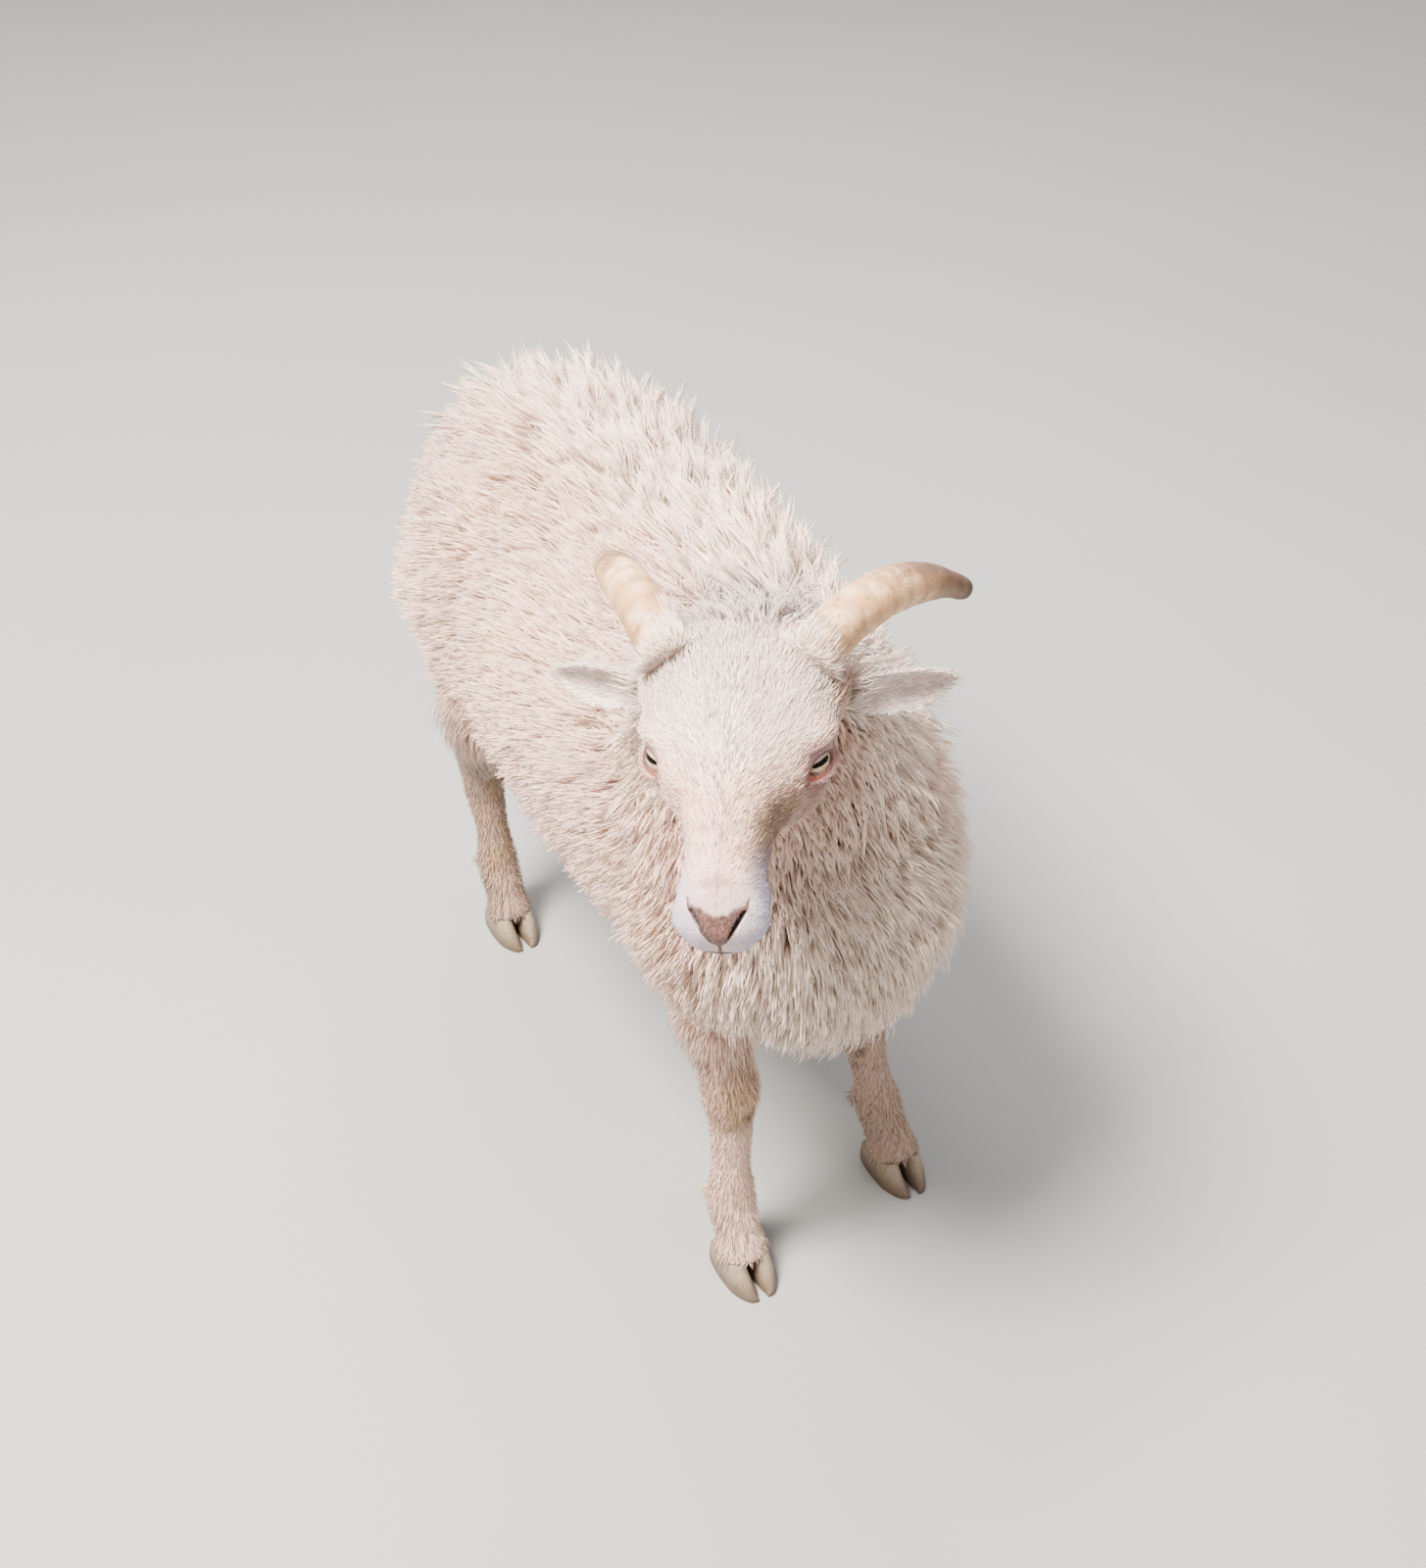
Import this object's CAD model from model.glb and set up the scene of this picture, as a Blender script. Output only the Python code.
"""Looks of a young white Ouessant ram, life size: skin, fleece, short hair, eyes, horns and claws.

Metres, +Z up. The animal faces -Y and its left side is +X. Sizes are given from the point on the
floor midway between the forefeet, as the solids' are, and each piece is then moved onto the model.
"""

import logging
import math
import random
from collections.abc import Iterator
from contextlib import contextmanager
from dataclasses import dataclass
from dataclasses import field
from enum import Enum

import bmesh
import bpy
import numpy as np
from bmesh.types import BMesh
from bpy.types import Material
from bpy.types import Mesh
from bpy.types import Object
from mathutils import Matrix
from mathutils import Vector
from mathutils.bvhtree import BVHTree


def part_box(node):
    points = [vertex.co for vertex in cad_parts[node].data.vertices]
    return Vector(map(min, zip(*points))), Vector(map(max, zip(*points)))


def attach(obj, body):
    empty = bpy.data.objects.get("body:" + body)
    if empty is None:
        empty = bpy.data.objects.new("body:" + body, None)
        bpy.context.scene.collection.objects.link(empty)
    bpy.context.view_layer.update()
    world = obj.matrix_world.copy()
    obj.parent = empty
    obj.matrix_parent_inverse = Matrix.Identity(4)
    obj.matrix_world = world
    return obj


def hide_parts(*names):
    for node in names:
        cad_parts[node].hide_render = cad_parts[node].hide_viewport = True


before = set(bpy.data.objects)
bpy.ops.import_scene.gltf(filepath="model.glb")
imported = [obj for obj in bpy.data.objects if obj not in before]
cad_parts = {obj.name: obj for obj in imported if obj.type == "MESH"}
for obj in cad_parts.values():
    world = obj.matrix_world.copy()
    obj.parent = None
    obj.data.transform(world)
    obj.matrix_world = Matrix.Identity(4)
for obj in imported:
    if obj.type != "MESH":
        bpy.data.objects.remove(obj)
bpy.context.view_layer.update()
LOG = logging.getLogger("ram")

Triple = tuple[float, float, float]

UP = Vector((0, 0, 1))
BACK = Vector((0, 1, 0))
SIDES = ((-1, "right"), (1, "left"))
FACE_ORDER = Vector((1.0, 0.371, 0.113))

GAP = 0.0003
ROOT_SINK = 0.0004
COAT_DEPTH = 0.038
SHORT_WOOL_REACH = 0.080
NAPE_PLACE = (-0.030, 0.050, 0.430)
NAPE_REACH = (0.070, 0.080, 0.060)
BELLY_HEIGHT = 0.245
CORONET_HEIGHT = 0.022
CORONET_SLOPE = 0.30
CORONET_BACK = 0.016
ANKLE_SECTION = 7
FOOT_SECTION = 9
HEAD_PLACE = Vector((-0.105, -0.068, 0.476))
HEAD_YAW = math.radians(-35.5)
HEAD_PITCH = math.radians(9.4)
HEAD_ROLL = math.radians(-4.2)
EYE_RADIUS = 0.0125
EYE_PLACE = Vector((0.0368, 0.0052, -0.0030))
EYE_GAZE = Vector((0.79, -0.50, 0.34)).normalized()
EYE_LOOK = Vector((0.71, -0.56, 0.43)).normalized()
EYE_CORNER_AIM = Vector((-0.58, -0.80, 0.06))
LID_LONG = 0.0118
LID_TALL = 0.0040
PAD_LOW = -0.0330
PAD_TOP = -0.0125
PAD_SLOPE = 0.74
CHEEK_PLACE = Vector((0.046, -0.004, -0.044))
TEAR_OVALS = (((0.0065, -0.0045), (0.0085, 0.0015)), ((0.0128, -0.0024), (0.0072, 0.0031)))
EAR_ROOT = Vector((0.0430, 0.0500, 0.0040))
EAR_TIP = Vector((0.1125, 0.0730, -0.0060))
EAR_FACING = Vector((0.25, -0.92, 0.10))
EAR_FRONT = Vector((0, -0.95, 0.10))
EAR_START = 0.056
HORN_FOOT_REACH = 0.024
MOUTH_CORNER = 0.064
MOUTH_RISE = 0.16
MOUTH_DROP = 0.0335
HORN_LINE = (
    Vector((0.0440, 0.0526, 0.0368)),
    Vector((0.0690, 0.0839, 0.0535)),
    Vector((0.0969, 0.1079, 0.0379)),
    Vector((0.1156, 0.1311, 0.0054)),
)
HORN_RADII = (0.0152, 0.0149, 0.0144, 0.0133, 0.0112, 0.0080)
HORN_SINK = 0.014
RIGHT_HORN_TURN = Vector((math.radians(6.0), math.radians(9.8), math.radians(12.0)))


@dataclass(frozen=True)
class Section:
    """One cross-section: its centre, and how far the flesh reaches to the side, up and down."""

    x: float
    y: float
    z: float
    side: float
    up: float
    down: float
    narrow: float = 0.0

    def numbers(self) -> tuple[float, ...]:
        """All seven sizes in order."""
        return (self.x, self.y, self.z, self.side, self.up, self.down, self.narrow)


def sections(*rows: tuple[float, ...]) -> tuple[Section, ...]:
    """A section for each row of its sizes."""
    return tuple(Section(*row) for row in rows)


def girthed(girths: tuple[Triple, ...], centres: tuple[Triple, ...]) -> tuple[Section, ...]:
    """Sections with the girths (to the side, up and down) round the centres."""
    return tuple(Section(*centre, *girth) for centre, girth in zip(centres, girths))


TRUNK = sections(
    (-0.022, -0.058, 0.292, 0.001, 0.001, 0.001),
    (-0.022, -0.050, 0.294, 0.036, 0.038, 0.040, 0.15),
    (-0.021, -0.020, 0.300, 0.060, 0.078, 0.066, 0.20),
    (-0.015, 0.025, 0.306, 0.073, 0.110, 0.077, 0.20),
    (-0.007, 0.085, 0.309, 0.081, 0.116, 0.096, 0.12),
    (0.002, 0.160, 0.308, 0.089, 0.114, 0.100, 0.05),
    (0.006, 0.240, 0.309, 0.092, 0.112, 0.098, 0.05),
    (0.008, 0.315, 0.314, 0.090, 0.114, 0.088),
    (0.009, 0.380, 0.318, 0.084, 0.111, 0.084),
    (0.008, 0.438, 0.315, 0.069, 0.092, 0.080),
    (0.008, 0.474, 0.310, 0.043, 0.062, 0.058),
    (0.008, 0.486, 0.306, 0.001, 0.001, 0.001),
)
NECK = sections(
    (-0.010, 0.062, 0.290, 0.001, 0.001, 0.001),
    (-0.012, 0.050, 0.315, 0.056, 0.052, 0.066),
    (-0.024, 0.026, 0.362, 0.061, 0.060, 0.066),
    (-0.042, 0.006, 0.408, 0.055, 0.056, 0.058),
    (-0.058, -0.012, 0.446, 0.050, 0.054, 0.050),
    (-0.070, -0.024, 0.478, 0.044, 0.048, 0.036),
    (-0.076, -0.030, 0.496, 0.001, 0.001, 0.001),
)
TAIL = sections(
    (0.008, 0.450, 0.376, 0.001, 0.001, 0.001),
    (0.008, 0.468, 0.376, 0.018, 0.015, 0.015),
    (0.009, 0.490, 0.358, 0.016, 0.012, 0.012),
    (0.010, 0.501, 0.322, 0.013, 0.008, 0.008),
    (0.011, 0.502, 0.284, 0.010, 0.006, 0.006),
    (0.012, 0.500, 0.262, 0.001, 0.001, 0.001),
)
HEAD = sections(
    (0, -0.1020, -0.0270, 0.0005, 0.0005, 0.0005),
    (0, -0.0985, -0.0265, 0.0150, 0.0105, 0.0130, 0.05),
    (0, -0.0930, -0.0265, 0.0215, 0.0175, 0.0200, 0.08),
    (0, -0.0840, -0.0265, 0.0250, 0.0250, 0.0230, 0.10),
    (0, -0.0730, -0.0250, 0.0250, 0.0290, 0.0250, 0.15),
    (0, -0.0590, -0.0200, 0.0225, 0.0285, 0.0280, 0.20),
    (0, -0.0440, -0.0140, 0.0235, 0.0275, 0.0350, 0.30),
    (0, -0.0290, -0.0080, 0.0300, 0.0265, 0.0460, 0.40),
    (0, -0.0130, -0.0030, 0.0405, 0.0270, 0.0560, 0.46),
    (0, 0.0040, 0.0000, 0.0480, 0.0310, 0.0640, 0.48),
    (0, 0.0210, 0.0020, 0.0500, 0.0370, 0.0680, 0.46),
    (0, 0.0380, 0.0030, 0.0490, 0.0415, 0.0670, 0.42),
    (0, 0.0540, 0.0030, 0.0460, 0.0400, 0.0590, 0.36),
    (0, 0.0680, 0.0030, 0.0380, 0.0280, 0.0480, 0.30),
    (0, 0.0780, 0.0030, 0.0220, 0.0140, 0.0300, 0.20),
    (0, 0.0820, 0.0030, 0.0005, 0.0005, 0.0005),
)
FORE_GIRTHS = (
    (0.001, 0.001, 0.001), (0.024, 0.026, 0.030), (0.0205, 0.0215, 0.0240),
    (0.0170, 0.0170, 0.0175), (0.0190, 0.0185, 0.0165), (0.0160, 0.0150, 0.0155),
    (0.0132, 0.0125, 0.0140), (0.0165, 0.0145, 0.0180), (0.0155, 0.0150, 0.0160),
    (0.0185, 0.0190, 0.0190), (0.0190, 0.0190, 0.0190), (0.001, 0.001, 0.001),
)
FORE_RIGHT = girthed(FORE_GIRTHS, (
    (-0.073, 0.020, 0.262), (-0.073, 0.019, 0.256), (-0.072, 0.014, 0.210),
    (-0.069, 0.008, 0.172), (-0.067, 0.004, 0.149), (-0.067, 0.003, 0.128),
    (-0.068, 0.000, 0.090), (-0.069, -0.003, 0.056), (-0.070, -0.011, 0.036),
    (-0.070, -0.017, 0.020), (-0.070, -0.021, 0.004), (-0.070, -0.022, 0.000),
))
FORE_LEFT = girthed(FORE_GIRTHS, (
    (0.032, 0.036, 0.262), (0.032, 0.036, 0.256), (0.036, 0.034, 0.210),
    (0.041, 0.031, 0.172), (0.045, 0.028, 0.149), (0.049, 0.028, 0.128),
    (0.057, 0.027, 0.090), (0.064, 0.025, 0.056), (0.067, 0.018, 0.036),
    (0.069, 0.012, 0.020), (0.070, 0.008, 0.004), (0.070, 0.007, 0.000),
))
HIND_RIGHT = sections(
    (-0.062, 0.350, 0.272, 0.001, 0.001, 0.001),
    (-0.062, 0.352, 0.265, 0.034, 0.046, 0.044),
    (-0.066, 0.368, 0.222, 0.030, 0.036, 0.036),
    (-0.067, 0.388, 0.182, 0.0210, 0.0235, 0.0250),
    (-0.066, 0.408, 0.150, 0.0165, 0.0185, 0.0205),
    (-0.065, 0.408, 0.126, 0.0160, 0.0165, 0.0175),
    (-0.064, 0.400, 0.092, 0.0130, 0.0125, 0.0135),
    (-0.063, 0.395, 0.056, 0.0160, 0.0145, 0.0175),
    (-0.063, 0.386, 0.036, 0.0152, 0.0150, 0.0160),
    (-0.063, 0.380, 0.020, 0.0180, 0.0190, 0.0190),
    (-0.063, 0.376, 0.004, 0.0185, 0.0190, 0.0190),
    (-0.063, 0.375, 0.000, 0.001, 0.001, 0.001),
)
HIND_LEFT_SHIFT = Vector((0.006, 0.012, 0))
THIGH = sections(
    (-0.046, 0.352, 0.392, 0.001, 0.001, 0.001),
    (-0.050, 0.356, 0.375, 0.030, 0.045, 0.045),
    (-0.056, 0.366, 0.318, 0.032, 0.066, 0.066),
    (-0.060, 0.370, 0.262, 0.032, 0.060, 0.058),
    (-0.062, 0.372, 0.222, 0.028, 0.042, 0.042),
    (-0.063, 0.372, 0.208, 0.001, 0.001, 0.001),
)
SHOULDER = sections(
    (-0.040, 0.055, 0.398, 0.001, 0.001, 0.001),
    (-0.046, 0.052, 0.385, 0.020, 0.030, 0.030),
    (-0.062, 0.030, 0.322, 0.026, 0.046, 0.050),
    (-0.070, 0.014, 0.268, 0.027, 0.040, 0.045),
    (-0.072, 0.018, 0.232, 0.024, 0.030, 0.032),
    (-0.072, 0.018, 0.220, 0.001, 0.001, 0.001),
)
LEFT_SHOULDER_SHIFT = Vector((-0.034, 0.010, 0.004))


@dataclass(frozen=True)
class Swell:
    """A rounded rise, or with a negative height a hollow, on both sides of the head."""

    x: float
    y: float
    z: float
    height: float
    reach: float


HEAD_SWELLS = (
    Swell(0.049, 0.006, 0.014, 0.0070, 0.012),     # rim of bone over the eye
    Swell(0.047, -0.001, -0.001, -0.0050, 0.012),  # orbit, which the eye fills
    Swell(0.034, 0.010, -0.038, 0.0080, 0.026),    # cheek
    Swell(0.026, -0.034, -0.002, -0.0022, 0.009),  # tear groove
    Swell(0.021, -0.090, -0.026, 0.0020, 0.009),   # wing of the nostril
    Swell(0.046, 0.044, 0.026, 0.0040, 0.018),     # foot of the horn
    Swell(0.053, 0.036, 0.014, 0.0050, 0.012),     # temple before the ear
)
FINE_SWELLS = (
    Swell(0.0150, -0.0950, -0.0100, 0.0012, 0.0050),   # upper rim of the nostril
    Swell(0.0185, -0.0880, -0.0170, 0.0010, 0.0045),   # outer rim of the nostril
    Swell(0.0000, -0.1020, -0.0330, -0.0016, 0.0026),  # split of the upper lip
    Swell(0.0000, -0.0980, -0.0190, -0.0008, 0.0040),  # dip between the nostrils
    Swell(0.0110, -0.0970, -0.0340, 0.0014, 0.0060),   # pad of the upper lip
    Swell(0.0000, -0.0930, -0.0470, 0.0012, 0.0070),   # chin
    Swell(0.0360, -0.0180, -0.0040, -0.0012, 0.0050),  # tear corner
    Swell(0.0415, -0.0100, 0.0180, -0.0012, 0.0060),   # crease over the lid
    Swell(0.0280, -0.0560, -0.0200, -0.0010, 0.0100),  # hollow behind the muzzle
)


def head_matrix() -> Matrix:
    """The head's own frame, which has its origin between the eyes, set in the body's."""
    return (Matrix.Translation(HEAD_PLACE) @ Matrix.Rotation(HEAD_YAW, 4, "Z")
            @ Matrix.Rotation(HEAD_PITCH, 4, "X") @ Matrix.Rotation(HEAD_ROLL, 4, "Y"))


def model_shift() -> Vector:
    """How far the model stands from the frame of the sizes, read from its left eye."""
    low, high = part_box("eye_left")
    return (low + high) / 2 - head_matrix() @ EYE_PLACE


def sided(vector: Vector, side: int) -> Vector:
    """The vector for one side of the head, +1 for the left."""
    return Vector((vector.x * side, vector.y, vector.z))


def mirrored(sections: tuple[Section, ...],
             shift: Vector = Vector((0, 0, 0))) -> tuple[Section, ...]:
    """The sections for the other side of the body, moved by the shift."""
    return tuple(
        Section(-s.x + shift.x, s.y + shift.y, s.z + shift.z, s.side, s.up, s.down, s.narrow)
        for s in sections
    )


def smooth_through(rows: list[tuple[float, ...]], place: float) -> list[float]:
    """Reads a row of numbers between rows, on a curve through them that doesn't overshoot.

    Args:
        rows: The known rows.
        place: How far along, where 1.0 is one row.

    Returns:
        The numbers of the row at that place.
    """
    last = len(rows) - 1
    place = min(max(place, 0.0), last)
    low = min(int(place), last - 1)
    share = place - low

    def slope(column: int, row: int) -> float:
        """The slope of one column at one row."""
        if row in (0, last):
            return 0.0
        before = rows[row][column] - rows[row - 1][column]
        after = rows[row + 1][column] - rows[row][column]
        return 0.0 if before * after <= 0 else 2 * before * after / (before + after)

    def value(column: int) -> float:
        """One number of the row."""
        a, b = rows[low][column], rows[low + 1][column]
        m, n = slope(column, low), slope(column, low + 1)
        if low == 0:
            m = 1.5 * (b - a) - 0.5 * n
        if low + 1 == last:
            n = 1.5 * (b - a) - 0.5 * m
        s = share
        return ((2 * s**3 - 3 * s**2 + 1) * a + (s**3 - 2 * s**2 + s) * m
                + (3 * s**2 - 2 * s**3) * b + (s**3 - s**2) * n)

    return [value(column) for column in range(len(rows[0]))]


def below_mouth(y: "Wire | np.ndarray", z: "Wire | np.ndarray") -> "Wire | np.ndarray":
    """How far below the line of the mouth a place in the head's frame lies."""
    return (y + MOUTH_CORNER) * MOUTH_RISE - z - MOUTH_DROP


def face_outwards(mesh: BMesh) -> None:
    """Turns the faces of a closed bmesh so that they all point outwards."""
    bmesh.ops.recalc_face_normals(mesh, faces=mesh.faces)
    if mesh.calc_volume(signed=True) < 0:
        bmesh.ops.reverse_faces(mesh, faces=mesh.faces)


def linked(name: str, data: bpy.types.ID) -> Object:
    """Puts a mesh, lamp or camera in the scene as an object."""
    made = bpy.data.objects.new(name, data)
    bpy.context.scene.collection.objects.link(made)
    return made


def as_object(name: str, mesh: BMesh, triangles: bool = True) -> Object:
    """Makes a bmesh a named object of the scene.

    Args:
        name: The object's name.
        mesh: The bmesh, which is freed.
        triangles: Whether its faces are split into triangles.

    Returns:
        The new object.
    """
    if triangles:
        bmesh.ops.triangulate(mesh, faces=mesh.faces)
    data = bpy.data.meshes.new(name)
    mesh.to_mesh(data)
    mesh.free()
    return linked(name, data)


@dataclass
class Loft:
    """A closed rounded form through cross-sections."""

    sections: tuple[Section, ...]
    upwards: Vector
    grow: float = 0.0
    frames: dict[float, tuple] = field(default_factory=dict)

    def frame_at(self, share: float) -> tuple:
        """The centre, directions and sizes at a share of the way along."""
        key = round(share, 7)
        if key not in self.frames:
            rows = [s.numbers() for s in self.sections]
            place = share * (len(rows) - 1)
            numbers = smooth_through(rows, place)
            ahead = Vector(smooth_through(rows, place + 0.05)[:3])
            behind = Vector(smooth_through(rows, place - 0.05)[:3])
            along = (ahead - behind).normalized()
            across = along.cross(self.upwards).normalized()
            top = across.cross(along).normalized()
            self.frames[key] = (Vector(numbers[:3]), along, across, top, numbers[3:])
        return self.frames[key]

    def mesh(self, segments: int, rings: int, start: float = 0.0) -> BMesh:
        """Maps a round ball onto the sections.

        Args:
            segments: Corners of each ring.
            rings: Steps from end to end.
            start: Angle of the first corner.

        Returns:
            The closed bmesh.
        """
        made = bmesh.new()
        bmesh.ops.create_uvsphere(made, u_segments=segments, v_segments=rings, radius=1)
        for vertex in made.verts:
            share = math.acos(max(-1.0, min(1.0, vertex.co.z))) / math.pi
            turn = math.atan2(vertex.co.y, vertex.co.x) + start
            centre, along, across, top, (side, up, down, narrow) = self.frame_at(share)
            if min(share, 1 - share) < 1e-4:
                vertex.co = centre + along * (self.grow if share > 0.5 else -self.grow)
                continue
            rise = math.sin(turn)
            reach = (side + self.grow) * math.cos(turn) * (1 - narrow * max(0.0, -rise) ** 1.5)
            height = (up + self.grow if rise > 0 else down + self.grow) * rise
            vertex.co = centre + across * reach + top * height
        face_outwards(made)
        return made

    def solid(self, name: str, segments: int, rings: int) -> Object:
        """The form as a named object."""
        return as_object(name, self.mesh(segments, rings))


@contextmanager
def edited(target: Object) -> Iterator[BMesh]:
    """Opens an object's mesh as a bmesh, and writes it back when the block ends."""
    mesh = bmesh.new()
    mesh.from_mesh(target.data)
    yield mesh
    mesh.to_mesh(target.data)
    mesh.free()


def applied(target: Object) -> Object:
    """Makes an object's modifiers part of its mesh, and gives the object back."""
    bpy.context.view_layer.update()
    graph = bpy.context.evaluated_depsgraph_get()
    result = bpy.data.meshes.new_from_object(target.evaluated_get(graph))
    target.modifiers.clear()
    old = target.data
    target.data = result
    bpy.data.meshes.remove(old)
    return target


def boolean(target: Object, operation: str,
            others: list[Object]) -> Object:
    """Joins the others to the target, or cuts with them, and removes them.

    Args:
        target: The object that is changed.
        operation: UNION or DIFFERENCE.
        others: Closed objects to join or to cut with.

    Returns:
        The target.
    """
    group = bpy.data.collections.new("tools")
    bpy.context.scene.collection.children.link(group)
    for other in others:
        bpy.context.scene.collection.objects.unlink(other)
        group.objects.link(other)
    modifier = target.modifiers.new(operation.title(), "BOOLEAN")
    modifier.operation = operation
    modifier.operand_type = "COLLECTION"
    modifier.collection = group
    modifier.solver = "MANIFOLD"
    applied(target)
    for other in others:
        bpy.data.objects.remove(other)
    bpy.data.collections.remove(group)
    return target


def joined(name: str, others: list[Object]) -> Object:
    """Puts several objects' meshes into one object, crossing as they are."""
    mesh = bmesh.new()
    for other in others:
        mesh.from_mesh(other.data)
        bpy.data.objects.remove(other)
    return as_object(name, mesh)


def remeshed(target: Object, size: float, rounds: int) -> Object:
    """Rebuilds an object's surface in even small faces, and smooths it.

    Args:
        target: The object that is changed.
        size: Size of the new faces.
        rounds: How often the surface is smoothed.

    Returns:
        The target.
    """
    modifier = target.modifiers.new("Remesh", "REMESH")
    modifier.mode = "VOXEL"
    modifier.voxel_size = size
    with edited(applied(target)) as mesh:
        for _ in range(rounds):
            bmesh.ops.smooth_vert(mesh, verts=mesh.verts, factor=0.5,
                                  use_axis_x=True, use_axis_y=True, use_axis_z=True)
        bmesh.ops.triangulate(mesh, faces=mesh.faces)
    return target


def vertex_rows(mesh: Mesh, what: str) -> np.ndarray:
    """The places (co) or the normals (normal) of a mesh's vertices, one row each."""
    flat = np.zeros(len(mesh.vertices) * 3, np.float32)
    mesh.vertices.foreach_get(what, flat)
    return flat.reshape(-1, 3).astype(float)


def corner_rows(mesh: Mesh, what: str) -> np.ndarray:
    """The vertices or the loops of each triangle of a mesh, one row each."""
    mesh.calc_loop_triangles()
    flat = np.zeros(len(mesh.loop_triangles) * 3, np.int32)
    mesh.loop_triangles.foreach_get(what, flat)
    return flat.reshape(-1, 3)


def push_out(target: Object, places: np.ndarray, push: np.ndarray) -> None:
    """Moves an object's vertices from their places along their normals by the push."""
    moved = places + vertex_rows(target.data, "normal") * push[:, None]
    target.data.vertices.foreach_set("co", moved.astype(np.float32).ravel())
    target.data.update()


def swell(target: Object, swells: tuple[Swell, ...]) -> None:
    """Raises and lowers the surface of the head, in its own frame, round each swell."""
    places = vertex_rows(target.data, "co")
    push = np.zeros(len(places))
    for one in swells:
        for side in (-1, 1):
            centre = np.array((one.x * side, one.y, one.z))
            away = np.linalg.norm(places - centre, axis=1) / one.reach
            weight = one.height if one.x else one.height / 2
            push += weight * np.exp(-away * away)
    push_out(target, places, push)


def keep_largest(target: Object) -> None:
    """Drops every closed surface but the largest, and puts the faces in one fixed order."""
    with edited(target) as mesh:
        left = set(mesh.verts)
        shells = []
        while left:
            stack = [left.pop()]
            shell = set(stack)
            while stack:
                for edge in stack.pop().link_edges:
                    for vertex in edge.verts:
                        if vertex in left:
                            left.discard(vertex)
                            shell.add(vertex)
                            stack.append(vertex)
            shells.append(shell)
        largest = max(shells, key=len)
        for shell in shells:
            if shell is not largest:
                bmesh.ops.delete(mesh, geom=list(shell), context="VERTS")
        mesh.faces.sort(key=lambda face: face.calc_center_median().dot(FACE_ORDER))


def cut_flat(target: Object, place: Vector, slope: float, keep_top: bool) -> None:
    """Cuts an object off at a plane that rises to the front, and closes it.

    Args:
        target: The object that is changed.
        place: A point of the plane.
        slope: How steeply the plane rises to the front.
        keep_top: Whether the part above the plane is the one that stays.
    """
    with edited(target) as mesh:
        whole = list(mesh.verts) + list(mesh.edges) + list(mesh.faces)
        bmesh.ops.bisect_plane(mesh, geom=whole, plane_co=place,
                               plane_no=Vector((0, slope, 1)).normalized(),
                               clear_inner=keep_top, clear_outer=not keep_top)
        bmesh.ops.holes_fill(mesh, edges=[e for e in mesh.edges if e.is_boundary])
        bmesh.ops.triangulate(mesh, faces=mesh.faces)
        face_outwards(mesh)


def tree_of(target: Object) -> BVHTree:
    """A tree for finding the nearest point of an object."""
    return BVHTree.FromObject(target, bpy.context.evaluated_depsgraph_get())


# Materials

class Wire:
    """An output of a shader node. Arithmetic on it adds Math nodes to its material."""

    def __init__(self, paint: "Paint", socket: bpy.types.NodeSocket) -> None:
        """Wraps one socket."""
        self.paint = paint
        self.socket = socket

    def __add__(self, other: "Wire | float") -> "Wire":
        """Sum."""
        return self.paint.maths("ADD", self, other)

    __radd__ = __add__

    def __sub__(self, other: "Wire | float") -> "Wire":
        """Difference."""
        return self.paint.maths("SUBTRACT", self, other)

    def __rsub__(self, other: float) -> "Wire":
        """Difference from a number."""
        return self.paint.maths("SUBTRACT", other, self)

    def __mul__(self, other: "Wire | float") -> "Wire":
        """Product."""
        return self.paint.maths("MULTIPLY", self, other)

    __rmul__ = __mul__

    def __pow__(self, other: float) -> "Wire":
        """Power."""
        return self.paint.maths("POWER", self, other)

    def size(self) -> "Wire":
        """The number without its sign."""
        return self.paint.maths("ABSOLUTE", self, 0.0)

    def most(self, other: "Wire | float") -> "Wire":
        """The larger of two."""
        return self.paint.maths("MAXIMUM", self, other)

    def step(self, low: float, high: float) -> "Wire":
        """A smooth step from 0 at low to 1 at high; low may be the larger."""
        if low > high:
            return 1 - self.step(high, low)
        return self.paint.node("ShaderNodeMapRange", {"interpolation_type": "SMOOTHSTEP"},
                               {"Value": self, "From Min": low, "From Max": high})


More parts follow.
